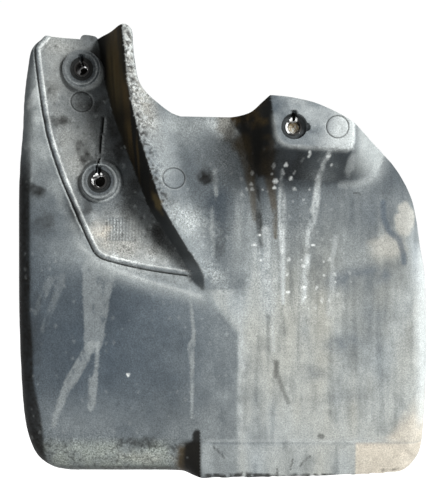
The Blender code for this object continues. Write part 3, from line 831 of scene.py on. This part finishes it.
def ridge_wall():
    """The ridge's left wall, dark with painted shade and streaked with brown mud, and painted shade on the
    flange beside it.
    """
    # painted shade over the ridge's left wall, which faces away from the light
    lay(SOOT_AND_SHADE, on_wall * (0.97 - 0.24 * below(46, 40) - 0.48 * below(-4, 14)))
    brown = on_wall * np.exp(-((to_crest - 7) / 7.5) ** 2) * above(30, 60)
    lay(MUD, 1.3 * (brown * ease((0.62 - fine_runs) / 0.3)))
    lay(RUST, 0.6 * on_wall * haze((-86, 142), (7, 30), 6) * ease((fine_runs - 0.38) / 0.2))
    lay(SOOT_AND_SHADE, 0.6 * on_wall * haze((-80, 106), (14, 7)))
    lay(RUST, 0.7 * blob((-52, 38), (3, 8), 24, 0.9, 0.7, 4))
    # painted shade on the flange along the foot of the wall
    lay(SOOT_AND_SHADE, 0.75 * (near(FOOT, 14) * on_flange * above(-22, 30)) * (0.55 + 0.6 * rough))
    lay(SOOT_AND_SHADE, 0.35 * on_flange * haze((-106, 118), (26, 40)) * (0.4 + rough))


def lit_ledge():
    """The ledge between the bead and the splash face."""
    below_bead = inside(plan, BEAD_FINE[-22:] + LEDGE[::-1])
    lay(DUST_AND_HIGHLIGHT, 0.45 * below_bead * (0.5 + mottle))
    # painted highlight along the ledge's lit edge
    lay(PALE, near(LEDGE, 1.6) * (0.7 + 0.6 * rough))
    lay(DUST_AND_HIGHLIGHT, 0.55 * near(LEDGE, 6.5) * (1 - below_bead))


def knurled_patch():
    patch, wave = knurling(plan, 0.45)
    patch = patch * ease((4 - (x - KNURL[0]) - 0.4 * (z - KNURL[1])) / 10 + 0.6)
    lay(SLATE, 0.45 * patch)
    lay(PALE, 0.8 * patch * np.clip(wave, 0, 1) * (0.4 + 0.8 * rough))


def smudges():
    lay(DUST_AND_HIGHLIGHT, clouds((0.34, (-153, 78), (6, 28)), (0.2, (-150, 130), (5, 22))))
    lay(PALE, 0.75 * blob((-151, 121), (4.5, 8), -35, 0.8, 0.9, 47))
    for c, size, k in (
            ((-138, 130), (10, 8), 0.6), ((-131, 103), (11, 4), 0.7), ((-114, 80), (6, 8), 0.85),
            ((-108, 70), (5, 6), 0.6), ((-151, 47), (7, 4.5), 0.85), ((-143, 20), (9, 8), 0.6),
            ((-84, 86), (7, 14), 0.5), ((-126, 152), (6, 5), 0.35), ((-112, 116), (18, 5), 0.3),
            ((-14.5, 58), (5.5, 6), 0.9), ((-60, 10), (9, 13), 0.55), ((-72, 34), (8, 14), 0.4),
            ((-150, -60), (6, 30), 0.3), ((-2, 4), (4, 10), 0.35)):
        lay(SOOT_AND_SHADE, k * blob(c, size, 0, 0.9, 0.9, c[0] + 2) * (0.35 + 0.8 * rough))
    for c, size, k in (
            ((-150, 122), (4, 10), 0.9), ((-148, 106), (5, 7), 0.7), ((-157, 84), (5, 3), 0.6),
            ((-104, 16), (7, 14), 0.55), ((-60, -10), (16, 6), 0.7), ((-88, -10), (14, 6), 0.5),
            ((8, 96), (20, 7), 0.4)):
        lay(PALE, k * blob(c, size, -15, 1, 0.9, c[1]) * (0.3 + 0.9 * rough))
    lay(TAN, 0.42 * blob((-99, 13), (7, 14), 10, 1, 0.9, 3) * (0.4 + 0.8 * rough))


def pad():
    """The pad's soiled walls, darkened with painted shade on the left and below, its pale face, and painted
    highlights on its glaring right side and edges.
    """
    ragged = 5 * (fractal(plan, 7, 4, 43) - 0.38)
    left_wall = on_base * left_of(42, 8) * ease((to(BASE) - ragged) / 2.5)
    lay(MUD, 0.6 * (blob((5, 96), (8, 13), 20, 1, 0.9, 45) * (1 - left_wall)) * rough)
    # painted shade on the pad's left wall, with brown mud over it
    lay(SOOT_AND_SHADE, 0.93 * left_wall)
    lay(MUD, 0.95 * left_wall * ease((mottle - 0.42) / 0.25))
    path = [(17, 106, 0.9), (23, 90, 1.6), (25, 72, 1.3), (25, 55, 0.8), (28, 30, 0.6), (31, 4, 0.3)]
    lay(SOOT_AND_SHADE, 0.85 * trail(path, 6.5, 2, 0.55))
    run = trail([(15, 86, 1.5), (20, 66, 1.1), (23.5, 46, 0.7), (25, 24, 0.35)], 5, 5, 0.25)
    lay(SOOT_AND_SHADE, 0.6 * run)
    lay(MUD, 0.5 * run)
    lay(MUD, 0.65 * trail([(34, 74, 1), (38, 54, 0.8), (41, 34, 0.5), (42, 10, 0.3)], 6, 5, 0.6))
    # painted shade under the pad's downward-facing lower wall, with dust in its middle
    lay(SOOT_AND_SHADE, 0.74 * under_pad * (1 - 0.85 * haze((80, 66), (14, 30))) * (0.7 + 0.4 * rough))
    lay(DUST_AND_HIGHLIGHT, 0.35 * under_pad * haze((80, 62), (13, 12)) * (0.2 + rough))
    # painted highlight round the pad's lower right foot
    lay(PALE, 0.26 * trail([(124, 76), (122.5, 67), (118, 57), (108, 53), (94, 52)], 3.2, 53, 0.3))
    # painted shade along the foot just below the pad
    lay(SOOT_AND_SHADE, 0.35 * clouds((1, (52, 56), (20, 6)), (1, (100, 56), (14, 4))) * (1 - on_base))
    colour[:] = np.where((on_face > 0.5)[:, None], np.array(SLATE) * 1.3, colour)
    # the face is pale, and a painted highlight makes it lighter towards its right
    lay(PALE, on_face * (0.3 + 0.9 * (mottle - 0.45) + 0.55 * right_of(70, 20)))
    # painted highlights on the pad's right wall, which faces the light, and at its lower right corner
    lay(DUST_AND_HIGHLIGHT, 0.85 * on_base * right_of(95, 12) * above(56, 12))
    lay(PALE, 0.35 * haze((118, 60), (12, 6), 20))
    lay(DUST_AND_HIGHLIGHT, 0.6 * haze((120, 70), (10, 26), -30) * (1 - on_base))
    worn_face = 0.35 * haze((88, 84), (14, 9)) + 0.4 * blob((66, 100), (14, 6), -15, 1, 0.9, 57)
    lay(PALE, on_face * worn_face)
    # painted highlight along the face's rounded edge
    lay(PALE, 0.75 * (near(FACE, 1.2) * below(104, 12)) * (0.5 + grain))


def drips():
    """Pale runs of dried water below the pad."""
    lay(PALE, 0.85 * trail([(46.5, 62, 0.4), (47, 40, 1), (47.5, 0, 0.9), (48, -42, 0.5)], 3.4, 3, 0.85))
    lay(PALE, 0.85 * trail([(79, 76, 0.8), (74, 36, 0.9), (69, 12, 0.9), (64, -42, 0.6)], 3.6, 4, 0.85))
    lay(DUST_AND_HIGHLIGHT, 0.55 * trail([(-6.5, 64, 0.7), (-6, 56, 1), (-5.5, 44, 0.6)], 2.6, 6, 0.6))
    lay(DUST_AND_HIGHLIGHT, 0.35 * trail([(-9, 34, 0.5), (-8.6, 12, 1.2), (-8, -4, 0.7)], 2.6, 6.5, 0.8))
    lay(DUST_AND_HIGHLIGHT, 0.6 * haze((12, 14), (7, 30)) * (0.4 + fine_runs))
    lay(DUST_AND_HIGHLIGHT, 0.45 * haze((22, 20), (3.5, 26)) * (0.4 + fine_runs))
    lay(PALE, 0.5 * trail([(34, 16, 1), (36, -30, 0.8), (40, -80, 0.5)], 4, 9, 0.85))
    lay(PALE, 0.5 * trail([(13.5, -50, 0.7), (15, -90, 1.2), (13, -150, 0.8)], 3, 19, 0.7))
    lay(PALE, 0.35 * trail([(90, 10, 1), (86, -50, 1)], 3, 23, 0.9))


def scrapes():
    """Scrapes across the bare lower left."""
    for k, *path in (
            (0.4, (-99, -16, 13), (-101, -32, 11), (-102, -54, 8.5), (-103.6, -72, 7.2), (-104, -76, 6.5)),
            (0.46, (-104.8, -76, 3.6), (-108.5, -81, 4), (-118, -98, 4.2), (-125, -110, 3.4),
             (-133, -131, 1.8), (-136, -142, 1)),
            (0.46, (-100.2, -74, 1), (-101, -88, 0.9), (-102.2, -101, 1), (-104, -105, 3.2),
             (-105, -122, 3), (-106, -127, 1.6)),
            (0.55, (-26.4, -32, 0.5), (-23.4, -68, 0.9), (-25.8, -80, 2.1), (-24.6, -90, 1.2),
             (-25, -134, 0.5))):
        lay(DUST_AND_HIGHLIGHT, k * scrape(path, path[0][0]))
    lay(DUST_AND_HIGHLIGHT, 0.22 * trail([(-128, -22, 1), (-144, -64, 0.6)], 4, 17, 0.8))
    lay(DUST_AND_HIGHLIGHT, 0.2 * trail([(-138, -24, 1), (-150, -50, 0.6)], 4, 25, 0.8))


def tan_silt():
    """Silt on the right and along the foot, and a painted highlight along the right rolled edge."""
    upper, lower = blob((145, 24), (9, 13), 0, 0.3, 0.45, 5), blob((130, 2), (12, 13), -20, 0.9, 0.6, 6)
    lay(SAND, 0.65 * np.maximum(upper, lower))
    path = [(128, 38), (128.5, 26), (133, 15), (141, 8), (144, -2), (145, -10)]
    lay(BARE, 0.75 * trail(path, 2.8, 7, 0.1))
    on_lip = right_of(105.4, 1.6) * below(-153.6, 1.6)
    slant = (x - 129.6) * 0.753 - (z + 152) * 0.659 + 6 + 9 * (mottle - 0.5)
    above_lip = ease(slant / 12) * above(-154.6, 1.6)
    lay(TAN, (0.86 * on_lip + 0.7 * above_lip) * (0.86 + 0.28 * (mottle - 0.3)))
    lay(SAND, 0.42 * blob((-62, -167), (20, 6), 0, 1, 0.9, 9) * (0.3 + 0.9 * rough))
    lay(LICHEN, 0.45 * below(-148, 12) * left_of(-34, 14) * (0.4 + 0.8 * rough))
    lay(SOOT_AND_SHADE, 0.55 * (ease((0.4 - pepper) / 0.08) * below(-146, 8) * left_of(-30, 8)))
    lay(SOOT_AND_SHADE, 0.45 * blob((-66, -154), (16, 4), 0, 1, 0.9, 13))
    # painted highlight along the right rolled edge, which faces the light
    lay(PALE, 0.75 * (right_of(150, 10) * below(14, 30)) * above(-150, 20))


def rims():
    """The rolled rim on the left and below, darkened with painted shade, and the step at the lip's left end,
    painted shade with brown mud.
    """
    inner = -153.2 + 2.4 * (fractal(plan, 30, 3, 71) - 0.5) + 3 * below(-30, 60)
    inner = inner + 8 * below(-96, 60)
    # painted shade on the left rolled rim, which faces away from the light
    lay(SOOT_AND_SHADE, ease((inner - x) / 2.6) * below(98, 50) * (0.8 + 0.4 * (pepper - 0.3)))
    # painted shade at the bottom left corner and along the downward-facing bottom roll
    lay(SOOT_AND_SHADE, 0.55 * haze((-153, -162), (16, 14)) * (0.5 + 0.6 * rough))
    lay(SOOT_AND_SHADE, 0.5 * below(-172.5, 5) * left_of(-34, 8) * (0.4 + rough))
    left_of_lip = left_of(-17.5, 1.2)
    fringe = 5 * (fractal(plan, 7, 4, 17) - 0.5)
    from_step = np.hypot((x + 20.5 - fringe * 0.4) * 0.9, (z + 151) * 0.5)
    # painted shade in the step's concave wall, brown mud at its left
    lay(SOOT_AND_SHADE, 0.95 * ease((4.6 - from_step) / 1.6) * left_of_lip)
    hollow = left_of_lip * ease((x + 41 + fringe * 1.6) / 13) * ease((-153 - z + fringe) / 7)
    lay(MUD, 0.92 * np.clip(hollow * 1.6, 0, 1))
    hollow = left_of_lip * ease((x + 36 + fringe) / 11) * ease((-151 - z + fringe) / 5)
    lay(SOOT_AND_SHADE, np.clip(1.5 * hollow, 0, 0.98))
    ragged = 2.4 * (fractal(plan, 6, 3, 14) - 0.5) + 1.6 * haze((16, -180), (9, 20))
    chipped = ease((fractal(plan, 3.4, 2, 15) - 0.3) / 0.2)
    lip_edge = right_of(-18, 6) * ease((-179.2 - z + ragged) / 1.2) * chipped
    lay(SOOT_AND_SHADE, 0.85 * lip_edge * (1 - 0.8 * right_of(80, 30)))
    lay(SOOT_AND_SHADE, 0.7 * trail([(128, -176.5), (140, -176), (151, -174.5)], 1.3, 16, 0.8))
    for tone, k, height, width in ((PALE, 0.4, -152.6, 0.9), (BARE, 0.3, -155, 1)):
        lay(tone, k * np.exp(-((z - height) / width) ** 2) * right_of(-16, 6) * left_of(150, 20))


def small_marks():
    for width, k, *path in (
            (0.9, 0.6, (-60, -156), (-52, -158), (-44, -155)),
            (2.2, 0.42, (42, -89), (43.5, -100), (48, -112), (52.5, -122)),
            (2.4, 0.4, (43, -90), (41.6, -101)), (0.7, 0.9, (-8, -155), (-6.6, -158.5), (1.5, -166.5)),
            (0.8, 0.6, (105, 45.5), (110, 44.8)), (0.8, 0.7, (56, -168), (54, -176)),
            (0.8, 0.9, (43.5, -174), (43.7, -183)), (0.8, 0.7, (62, -173), (66, -168), (70, -165))):
        lay(SOOT_AND_SHADE, k * trail(path, width, width, 0.3))
    lay(SOOT_AND_SHADE, 0.55 * blob((78.5, -149), (3.2, 1.9), 0, 0.4, 0.1, 1))
    for cx, cz, r in ((49, 66, 1.4), (42, 55, 2), (41, 50, 1.2), (54, 57, 1.3), (80, 71, 1.6), (84, 66, 1.1),
                      (-76, -100, 1.2), (25, 4, 1.5), (30, -8, 1.1), (65, -30, 1.2), (66, -38, 1.1),
                      (52, -34, 1.2), (29, 12, 1), (72, 4, 1)):
        lay(CHALK_AND_HIGHLIGHT, 0.8 * blob((cx, cz), (r, r * 0.8), 0, 0.5, 0.2, r))
    lay(CHALK_AND_HIGHLIGHT, 0.9 * trail([(65.5, 74, 1), (65.2, 71, 0.8)], 0.9, 2, 0))
    lay(PALE, 0.45 * blob((99, 67), (3.2, 7), 0, 0.9, 0.9, 37))


def scattered_dots():
    """A fine mottle over everything, then crisp dots."""
    colour[:] = colour * (0.87 + 0.26 * fractal(plan, 4.2, 3, 81))[:, None]
    lay(CHALK_AND_HIGHLIGHT, 0.6 * dots(5.5, 0.34, 3) * haze((66, -22), (34, 26)))
    lay(CHALK_AND_HIGHLIGHT, 0.48 * dots(4.2, 0.16, 5) * haze((48, 50), (34, 18)))
    lay(PALE, 0.14 * dots(6.5, 0.2, 9) * (1 - right) * (1 - on_flange) * (1 - on_wall))
    lay(SOOT_AND_SHADE, 0.4 * dots(4.6, 0.2, 6) * on_flange)
    lay(PALE, 0.2 * dots(4.1, 0.12, 7) * on_flange)


def tear_and_bead():
    for line in TEARS:
        # painted shade in the tear, and a painted highlight on its turned-up right lip
        lay(SOOT_AND_SHADE, 0.97 * near(line, 0.85))
        lay(PALE, 0.55 * near(shifted(line, 1.9), 0.6))
    beside = near(shifted(BEAD_FINE, -9), 5.5)
    lay(DUST_AND_HIGHLIGHT, 0.34 * beside * above(-4, 20) * below(120, 30) * (0.4 + rough))
    from_bead = to(BEAD_FINE)
    top_of_bead = 1 - ease((from_bead - 1.1) / 0.6)
    lay(SLATE, 0.7 * top_of_bead)
    lay(DUST_AND_HIGHLIGHT, 0.34 * top_of_bead * (0.3 + rough))
    # painted shade in the groove beside the bead, and a painted highlight along the bead's inner edge
    lay(SOOT_AND_SHADE, 0.85 * near(GROOVE, 0.55))
    lay(CHALK_AND_HIGHLIGHT, 0.66 * near(INNER, 0.48) * (0.5 + 0.7 * rough))
    stain = 1.2 * haze((-118.5, 30), (5, 15), 22) + 0.8 * blob((-109, 33), (4, 6), 0, 0.9, 0.7, 35)
    lay(SOOT_AND_SHADE, 0.72 * stain)
    # painted highlight along the line outside the groove
    lay(PALE, 0.6 * near(OUTER, 0.6))
    lay(SOOT_AND_SHADE, 0.75 * haze((-143, 103), (3, 4)) * (1 - ease((from_bead - 2) / 1)))


def holes_and_stamps():
    for cx, cz in (UPPER, LOWER, PAD_HOLE):
        # painted shade in the relief slots
        lay(SOOT_AND_SHADE, 0.9 * ((np.abs(x - cx) < 2.5) & (z > cz) & (z < cz + 12.3)))
    for centre in (UPPER, LOWER):
        r = radius_from(plan, centre)
        lay(SLATE, 0.35 * disc(r, 15, 2))
        # painted shade in the bore and the sunk ring round it
        lay(SOOT_AND_SHADE, 0.85 * disc(r, 9.3, 0.5))
        lit = 0.5 + 0.5 * np.cos(np.arctan2(z - centre[1], x - centre[0]) + 0.9)
        # painted highlights on the lit side of the boss rims, painted shadow cast on the far side
        lay(PALE, 0.8 * ring(centre, 15.7, 0.6) * lit)
        lay(PALE, 0.55 * ring(centre, 12.4, 0.6) * lit)
        lay(SOOT_AND_SHADE, 0.6 * ring(centre, 16.6, 1) * (1 - lit))
    # painted highlight on the lower boss's raised lip, painted shade just inside it
    lay(PALE, 0.5 * ring(LOWER, 13.9, 0.55))
    lay(SOOT_AND_SHADE, 0.6 * ring(LOWER, 11.7, 0.6))
    for centre in STAMPS:
        # painted shade in the stamp grooves, with a faint light ring outside
        lay(SOOT_AND_SHADE, 0.6 * ring(centre, STAMP_R, 0.5))
        lay(PALE, 0.16 * ring(centre, 9.2, 0.5))
    # painted shade in the pad's washer seat
    lay(SOOT_AND_SHADE, 0.7 * disc(radius_from(plan, PAD_HOLE), 9.2, 0.6))


def speck_strength():
    """How strongly the material's fine specks show at each point."""
    speck = 0.14 + 0.95 * shoulder + 0.42 * np.clip(low_slope, 0, 1) * (1 - on_wall)
    speck = speck + 0.55 * below(-136, 26) * left_of(-26, 14) + 0.22 * on_flange
    speck = speck + 0.3 * on_flange * haze((-84, 4), (34, 22)) + 0.25 * under_pad
    speck = speck + clouds((0.3, (6, 70), (36, 40)), (0.3, (44, -6), (34, 50)), (0.35, (-4, 108), (34, 12)))
    speck = speck + 0.1 * left_of(-116, 20) * below(20, 40)
    return np.clip(speck * (0.5 + rough), 0, 1)


for layer in (bare_places, ridge_slope, ridge_wall, lit_ledge, knurled_patch, smudges, pad, drips, scrapes,
              tan_silt, rims, small_marks, scattered_dots, tear_and_bead, holes_and_stamps):
    layer()


# ---- the back, the plugs in the bores (painted shade in the flange bores, tan silt in the pad's), and all together
def back_colour():
    """Bare rubber under a soft film of dust, with tan splashes low down."""
    back = np.array(SLATE) * (0.75 + 0.5 * fractal(plan, 40, 3, 33))[:, None]
    film = 0.6 * streaks(0.25, 22, 5, 35) + 0.4 * fractal(plan, 16, 4, 31)
    back = mix(back, DUST_AND_HIGHLIGHT, 0.42 * ease((film - 0.25) / 0.6))
    return mix(back, TAN, 0.22 * ease((film - 0.35) / 0.4) * below(-60, 110))


def shade_and_silt_colour():
    """Near black as painted shade in the flange bores and the slots, tan crumbs in the pad's bore."""
    silt = plan[shade_and_silt_from:]
    tone = np.tile(np.array(SOOT_AND_SHADE) * 1.6, (len(silt), 1))
    in_pad = radius_from(silt, PAD_HOLE) < 5.05
    crumbs = fractal(silt, 1.6, 3, 41)[in_pad]
    tone[in_pad] = mix(np.tile(np.array(MUD) * 5, (len(crumbs), 1)), CHALK_AND_HIGHLIGHT, 0.15 + 2.2 * (crumbs - 0.35))
    return tone


behind = np.arange(len(plan)) >= front_count
colour = np.where(behind[:, None], back_colour(), colour)
colour[shade_and_silt_from:] = shade_and_silt_colour()
painted = np.concatenate([np.clip(colour, 0.001, 0.9), speck_strength()[:, None]], 1)


# ---- materials
def new_material(name):
    m = bpy.data.materials.new(name)
    m.use_nodes = True
    return m, m.node_tree, m.node_tree.nodes["Principled BSDF"]


def set_values(node, values):
    for name, value in values.items():
        node.inputs[name].default_value = value


def add_node(tree, kind, values=None, operation=None):
    node = tree.nodes.new("ShaderNode" + kind)
    if operation:
        node.operation = operation
    set_values(node, values or {})
    return node


def add_noise(tree, scale, detail, roughness=0.5):
    """Noise in the object's own coordinates."""
    noise = add_node(tree, "TexNoise", {"Scale": scale, "Detail": detail, "Roughness": roughness})
    tree.links.new(add_node(tree, "TexCoord").outputs["Object"], noise.inputs["Vector"])
    return noise.outputs["Fac"]


def remapped(tree, source, low, high, to_low, to_high, interpolation='LINEAR'):
    ends = {"From Min": low, "From Max": high, "To Min": to_low, "To Max": to_high}
    node = add_node(tree, "MapRange", ends)
    node.interpolation_type = interpolation
    tree.links.new(source, node.inputs["Value"])
    return node.outputs["Result"]


def from_mesh(tree, name):
    """The mesh attribute of that name."""
    node = add_node(tree, "Attribute")
    node.attribute_name = name
    return node.outputs


def calculated(tree, operation, first, second, third=0.5):
    node = add_node(tree, "Math", operation=operation)
    tree.links.new(first, node.inputs[0])
    tree.links.new(second, node.inputs[1])
    node.inputs[2].default_value = third
    return node.outputs["Value"]


def rubber_material():
    """The painted grime, shade and highlights under fine grain and specks, dull, with a shallow bump."""
    m, tree, bsdf = new_material("moulded_rubber_worn_painted_light")
    link = tree.links.new
    dirt_shade_highlight = from_mesh(tree, "dirt_shade_highlight_colour")
    fine = add_noise(tree, 1150.0, 4.0, 0.65)
    grain = remapped(tree, fine, 0.33, 0.67, 0.72, 1.30)
    specks = remapped(tree, add_noise(tree, 780.0, 4.0, 0.72), 0.36, 0.66, -0.62, 0.80)
    amount = calculated(tree, 'MULTIPLY_ADD', specks, dirt_shade_highlight["Alpha"], 1.0)
    tint = add_node(tree, "VectorMath", operation='SCALE')
    link(dirt_shade_highlight["Color"], tint.inputs[0])
    link(calculated(tree, 'MULTIPLY', amount, grain), tint.inputs["Scale"])
    link(tint.outputs["Vector"], bsdf.inputs["Base Color"])
    link(remapped(tree, fine, 0.3, 0.7, 0.52, 0.78), bsdf.inputs["Roughness"])
    set_values(bsdf, {"Specular IOR Level": 0.07})
    bump = add_node(tree, "Bump", {"Strength": 0.35, "Distance": 0.00025})
    link(fine, bump.inputs["Height"])
    link(bump.outputs["Normal"], bsdf.inputs["Normal"])
    return m


def steel_material():
    """Zinc plating, bright where the mesh paints a glint and at the bare tabs, and soiled elsewhere."""
    m, tree, bsdf = new_material("zinc_plated_steel_worn_painted_glint")
    ramp = add_node(tree, "ValToRGB")
    soiled, bare = ramp.color_ramp.elements
    soiled.position, soiled.color = 0.44, (0.012, 0.011, 0.010, 1)
    # the bright stop serves both the painted glint and the bare tabs
    bare.position, bare.color = 0.62, (0.74, 0.75, 0.74, 1)
    shine = calculated(tree, 'ADD', add_noise(tree, 420.0, 5.0), from_mesh(tree, "glint_and_bare_metal")["Fac"])
    tree.links.new(shine, ramp.inputs["Fac"])
    tree.links.new(ramp.outputs["Color"], bsdf.inputs["Base Color"])
    set_values(bsdf, {"Metallic": 0.35, "Roughness": 0.45})
    return m


def floor_material():
    m, _, bsdf = new_material("studio_floor")
    set_values(bsdf, {"Base Color": (0.5, 0.5, 0.5, 1), "Roughness": 0.9, "Specular IOR Level": 0.2,
                      "Emission Color": (1, 1, 1, 1), "Emission Strength": 0.75})
    return m


rubber, steel = rubber_material(), steel_material()


# ---- the pieces
def shown(name, mesh):
    ob = bpy.data.objects.new(name, mesh)
    bpy.context.scene.collection.objects.link(ob)
    return ob


def piece(name, verts, faces, material, crease):
    """A smooth-shaded object, sharp where its faces meet at more than the crease angle."""
    mesh = bpy.data.meshes.new(name)
    mesh.from_pydata(verts, [], faces)
    mesh.update()
    mesh.materials.append(material)
    mesh.shade_smooth()
    mesh.set_sharp_from_angle(angle=math.radians(crease))
    return shown(name, mesh)


flap = piece("flap_skin", build.verts, build.faces, rubber, 55)
# the painted dirt together with the painted shade and painted highlights, as a colour attribute
dirt_shade_highlight = flap.data.color_attributes.new("dirt_shade_highlight_colour", 'FLOAT_COLOR', 'POINT')
dirt_shade_highlight.data.foreach_set("color", painted.astype(np.float32).ravel())
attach(flap, "root")
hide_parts("flap_body")


def collar(name, node, centre, seat, high, tabs, shine, facing):
    """A strip rolled into a ring, its upper end flared over the washer seat beside the split."""
    inner, outer = COLLAR_BORE / 2, COLLAR_BORE / 2 + COLLAR_STRIP
    start = math.asin(1.1 / outer)
    around = 72
    verts, faces, glint_and_bare_values = [], [], []
    heights = [seat, seat + 0.4] + [seat + (high - seat) * k / 6 for k in range(1, 6)] + [high - 0.5, high]
    h = len(heights)
    for k in range(around + 1):
        a = math.pi / 2 + start + (2 * math.pi - 2 * start) * k / around
        tab = math.exp(-(min(k, around - k) / around / 0.05) ** 2)
        lip = 0.25 + tabs * tab
        # painted glint: the collar is lighter on the side turned towards facing, most at its top, and its
        # tabs are bright
        lit = shine * max(0.0, math.cos(a - math.radians(facing))) ** 2
        for r_side, foot, rise in ((inner, 0.15, 0.35 * tabs * tab), (outer, -0.25, 0.0)):
            flare = [foot] + [0.0] * (h - 3) + [lip * 0.35, lip]
            lift = [0.0] * (h - 2) + [rise, rise]
            for level, wider, up in zip(heights, flare, lift):
                r, level = r_side + wider, level + up
                verts.append(place(centre[0] + r * math.cos(a), centre[1] + r * math.sin(a), level))
                glint_and_bare_values.append(-0.25 + lit * (level - seat) / (high - seat) + tabs * 0.5 * tab)
    for k in range(around):
        a, b = k * 2 * h, (k + 1) * 2 * h
        for j in range(h - 1):
            faces.append((a + j, b + j, b + j + 1, a + j + 1))
            faces.append((a + h + j, a + h + j + 1, b + h + j + 1, b + h + j))
        faces.append((a, a + h, b + h, b))
        faces.append((a + h - 1, b + h - 1, b + 2 * h - 1, a + 2 * h - 1))
    for a in (0, around * 2 * h):
        for j in range(h - 1):
            quad = (a + j, a + j + 1, a + h + j + 1, a + h + j)
            faces.append(quad if a == 0 else quad[::-1])
    ob = piece(name, verts, faces, steel, 40)
    ob.data.attributes.new("glint_and_bare_metal", 'FLOAT', 'POINT').data.foreach_set("value", glint_and_bare_values)
    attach(ob, "root")
    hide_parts(node)


collar("upper_flange_collar_skin", "upper_flange_collar", UPPER, UPPER_REAR, 20.3, 0.3, 0.10, 300)
collar("lower_flange_collar_skin", "lower_flange_collar", LOWER, LOWER_REAR, 25.3, 0.7, 0.32, 150)
collar("pad_collar_skin", "pad_collar", PAD_HOLE, PAD_REAR, 56.2, 1.6, 0.62, 190)


# ---- studio
def make_floor():
    half, height = 6, -0.75
    mesh = bpy.data.meshes.new("studio_floor")
    corners = [(sx * half, sy * half, height) for sx, sy in ((-1, -1), (1, -1), (1, 1), (-1, 1))]
    mesh.from_pydata(corners, [], [(0, 1, 2, 3)])
    mesh.materials.append(floor_material())
    shown("studio_floor", mesh)


def make_world():
    """A soft white room: dimmer to the left, and full white behind the object."""
    world = bpy.data.worlds.new("studio")
    bpy.context.scene.world = world
    world.use_nodes = True
    tree = world.node_tree
    background = tree.nodes["Background"]
    parts = add_node(tree, "SeparateXYZ")
    tree.links.new(add_node(tree, "TexCoord").outputs["Generated"], parts.inputs["Vector"])
    side = remapped(tree, parts.outputs["X"], -0.7, 0.9, 0.42, 0.9)
    back = remapped(tree, parts.outputs["Y"], 0.30, 0.84, 0.0, 1.0, 'SMOOTHSTEP')
    level = add_node(tree, "Mix")
    level.data_type = 'FLOAT'
    tree.links.new(back, level.inputs["Factor"])
    tree.links.new(side, level.inputs[2])
    level.inputs[3].default_value = 1.02
    set_values(background, {"Color": (1, 1, 1, 1)})
    tree.links.new(level.outputs[0], background.inputs["Strength"])


def make_key_light(target):
    data = bpy.data.lights.new("key", 'AREA')
    data.shape = 'DISK'
    data.size = 0.55
    data.energy = 92.0
    away = Vector((1.25, -0.95, 0.85))
    key = shown("key", data)
    key.location = target + away
    key.rotation_euler = (-away).to_track_quat('-Z', 'Y').to_euler()


def make_camera():
    """Square on to the flap, half a metre in front of its plate."""
    data = bpy.data.cameras.new("camera")
    data.lens = 45.0
    data.sensor_width = 36.0
    data.clip_start = 0.01
    camera = shown("camera", data)
    camera.location = place(0, 0, PLATE + 500)
    camera.rotation_euler = (math.radians(90), 0, 0)
    bpy.context.scene.camera = camera


make_floor()
make_world()
make_key_light(Vector(place(0, 0, PLATE)))
make_camera()
bpy.context.scene.view_settings.view_transform = 'Standard'
bpy.context.scene.view_settings.look = 'None'
